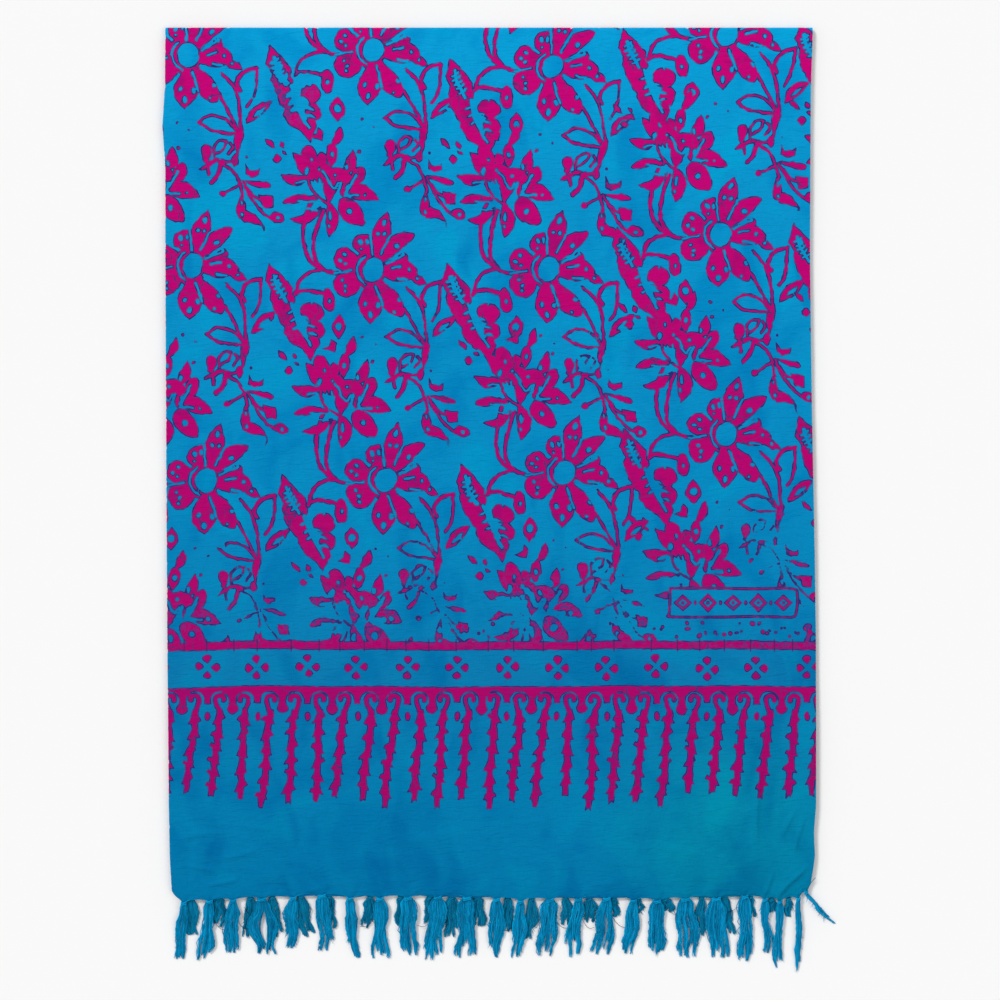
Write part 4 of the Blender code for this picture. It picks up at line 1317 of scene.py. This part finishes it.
    # A thread here and there has slipped out and hangs in a loop beside the bundle
    loops = int(rough.random() < 0.55) if front and tassel.width > 5 else 0
    for _ in range(loops):
        t = np.linspace(0, 1, steps)
        across = rough.choice((-1, 1)) * rough.uniform(13, 21)
        fall = rough.choice((2.0, 20.0))
        x = tassel.x + across * t
        y = top - 5 - fall * t - rough.uniform(6, 11) * np.sin(math.pi * t**0.9)
        z = 1.2 + 1.2 * abs(1 - 2 * t)
        paths.append(np.column_stack([x, y, z]))
        radii.append(LOOSE_THREAD * np.ones(steps))
    points, quads, caps = swept(paths, radii, sides)
    mesh = bpy.data.meshes.new(name)
    mesh.from_pydata((points / 1000).tolist(), [], quads.tolist() + caps.tolist())
    # The knot's five strands are made lighter as a painted highlight on the raised knot, and the loose
    # thread is a dark one
    shade = rough.uniform(0, 1, len(paths))
    shade[len(paths) - loops:] = -1.0
    shade[len(paths) - loops - 5:len(paths) - loops] += 0.35
    shade = np.repeat(shade, steps * sides).astype(np.float32)
    mesh.attributes.new("strand", "FLOAT", "POINT").data.foreach_set("value", shade)
    mesh.shade_smooth()
    piece = bpy.data.objects.new(name, mesh)
    bpy.context.scene.collection.objects.link(piece)
    piece.data.materials.append(yarn)
    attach(piece, "root")
    return piece


def fringe_yarn(name, deep, light):
    """Soft yarn between two shades, streaked along its length."""
    finish = Finish(name)
    mm = finish.stretched(finish.add("ShaderNodeTexCoord", {}, "Object"), (1000, 1000, 1000))
    strand = finish.add("ShaderNodeAttribute", {}, "Fac", attribute_name="strand")
    streak = finish.cloud(finish.stretched(mm, (1.4, 0.10, 1.4)), 1.0, 2.0, 0.5)
    patch = finish.cloud(mm, 0.09, 2.0)
    # The strand value is each yarn's own tone, raised on the knot's strands as a painted highlight
    share = finish.sum("ADD", finish.sum("MULTIPLY", strand, 0.5), finish.sum("MULTIPLY", streak, 0.3))
    share = finish.between(finish.sum("ADD", share, finish.sum("MULTIPLY", patch, 0.4)), 0.25, 0.95)
    colour = finish.colour(share, deep, light)
    colour = finish.colour(finish.between(strand, -0.4, -0.8), colour, dye(12, 42, 84))
    twist = finish.cloud(finish.stretched(mm, (2.5, 1.1, 2.5)), 1.0, 2.0)
    finish.put(finish.surface.inputs["Base Color"], colour)
    finish.put(finish.surface.inputs["Normal"], finish.bump(twist, 0.0003, 0.7))
    finish.surface.inputs["Roughness"].default_value = 0.65
    finish.surface.inputs["Specular IOR Level"].default_value = 0.04
    finish.surface.inputs["Sheen Weight"].default_value = 0.02
    return finish.material


front_yarn = fringe_yarn("fringe_yarn", dye(0, 110, 156), dye(0, 172, 228))
# The back row is the same yarn as the front row, given darker colours as painted shade under the front
# layer
back_yarn_painted_shade = fringe_yarn("shaded_fringe_yarn", dye(0, 94, 132), dye(0, 146, 192))
for number, tassel in enumerate(FRONT_TASSELS, start=1):
    piece = tassel_piece(f"front_fringe_{number:02d}", tassel, True, 300 + number, front_yarn)
    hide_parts(f"tassel_front_{number:02d}")
for number, tassel in enumerate(BACK_TASSELS, start=1):
    piece = tassel_piece(f"back_fringe_{number:02d}", tassel, False, 400 + number, back_yarn_painted_shade)
    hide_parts(f"tassel_back_{number:02d}")


# ---------------------------------------------------------------------------
# The studio: a white paper floor, broad soft light from above and a little from the
# upper left, and a camera straight over the cloth.
# ---------------------------------------------------------------------------
bpy.ops.object.select_all(action="DESELECT")
bpy.ops.mesh.primitive_plane_add(size=60.0, location=(0, 0, -0.0004))
floor = bpy.context.active_object
floor.name = "paper_floor"
paper = Finish("white_paper")
tooth = paper.cloud(paper.add("ShaderNodeTexCoord", {}, "Object"), 900.0, 2.0)
paper.put(paper.surface.inputs["Normal"], paper.bump(tooth, 0.0001, 0.3))
paper.surface.inputs["Base Color"].default_value = (0.93, 0.93, 0.93, 1.0)
paper.surface.inputs["Roughness"].default_value = 0.9
floor.data.materials.append(paper.material)
floor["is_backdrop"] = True

world = bpy.data.worlds.new("soft_studio")
bpy.context.scene.world = world
world.use_nodes = True
world.node_tree.nodes["Background"].inputs["Color"].default_value = (1.0, 1.0, 1.0, 1.0)
world.node_tree.nodes["Background"].inputs["Strength"].default_value = 0.60


def soft_light(name, direction, strength, angle):
    """A broad light from one direction."""
    light = bpy.data.lights.new(name, "SUN")
    light.energy = strength
    light.angle = math.radians(angle)
    lamp = bpy.data.objects.new(name, light)
    lamp.rotation_euler = Vector(direction).to_track_quat("Z", "Y").to_euler()
    bpy.context.scene.collection.objects.link(lamp)


soft_light("key_from_upper_left", (-0.75, 0.8, 1.0), 1.60, 16)
soft_light("fill_from_right", (0.9, -0.3, 0.9), 0.35, 40)

VIEW_WIDE = 0.885  # metres that the camera takes in from side to side, at the cloth
VIEW_X = 0.00885
camera_data = bpy.data.cameras.new("overhead")
camera_data.lens = 85.0
camera_data.sensor_width = 36.0
camera_data.clip_end = 50.0
camera = bpy.data.objects.new("overhead", camera_data)
distance_up = camera_data.lens / camera_data.sensor_width * VIEW_WIDE
camera.location = (VIEW_X, 0.0, distance_up + STACK / 1000)
bpy.context.scene.collection.objects.link(camera)
bpy.context.scene.camera = camera
bpy.context.scene.view_settings.view_transform = "Standard"

# The box around everything rendered, the floor left out
low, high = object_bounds()
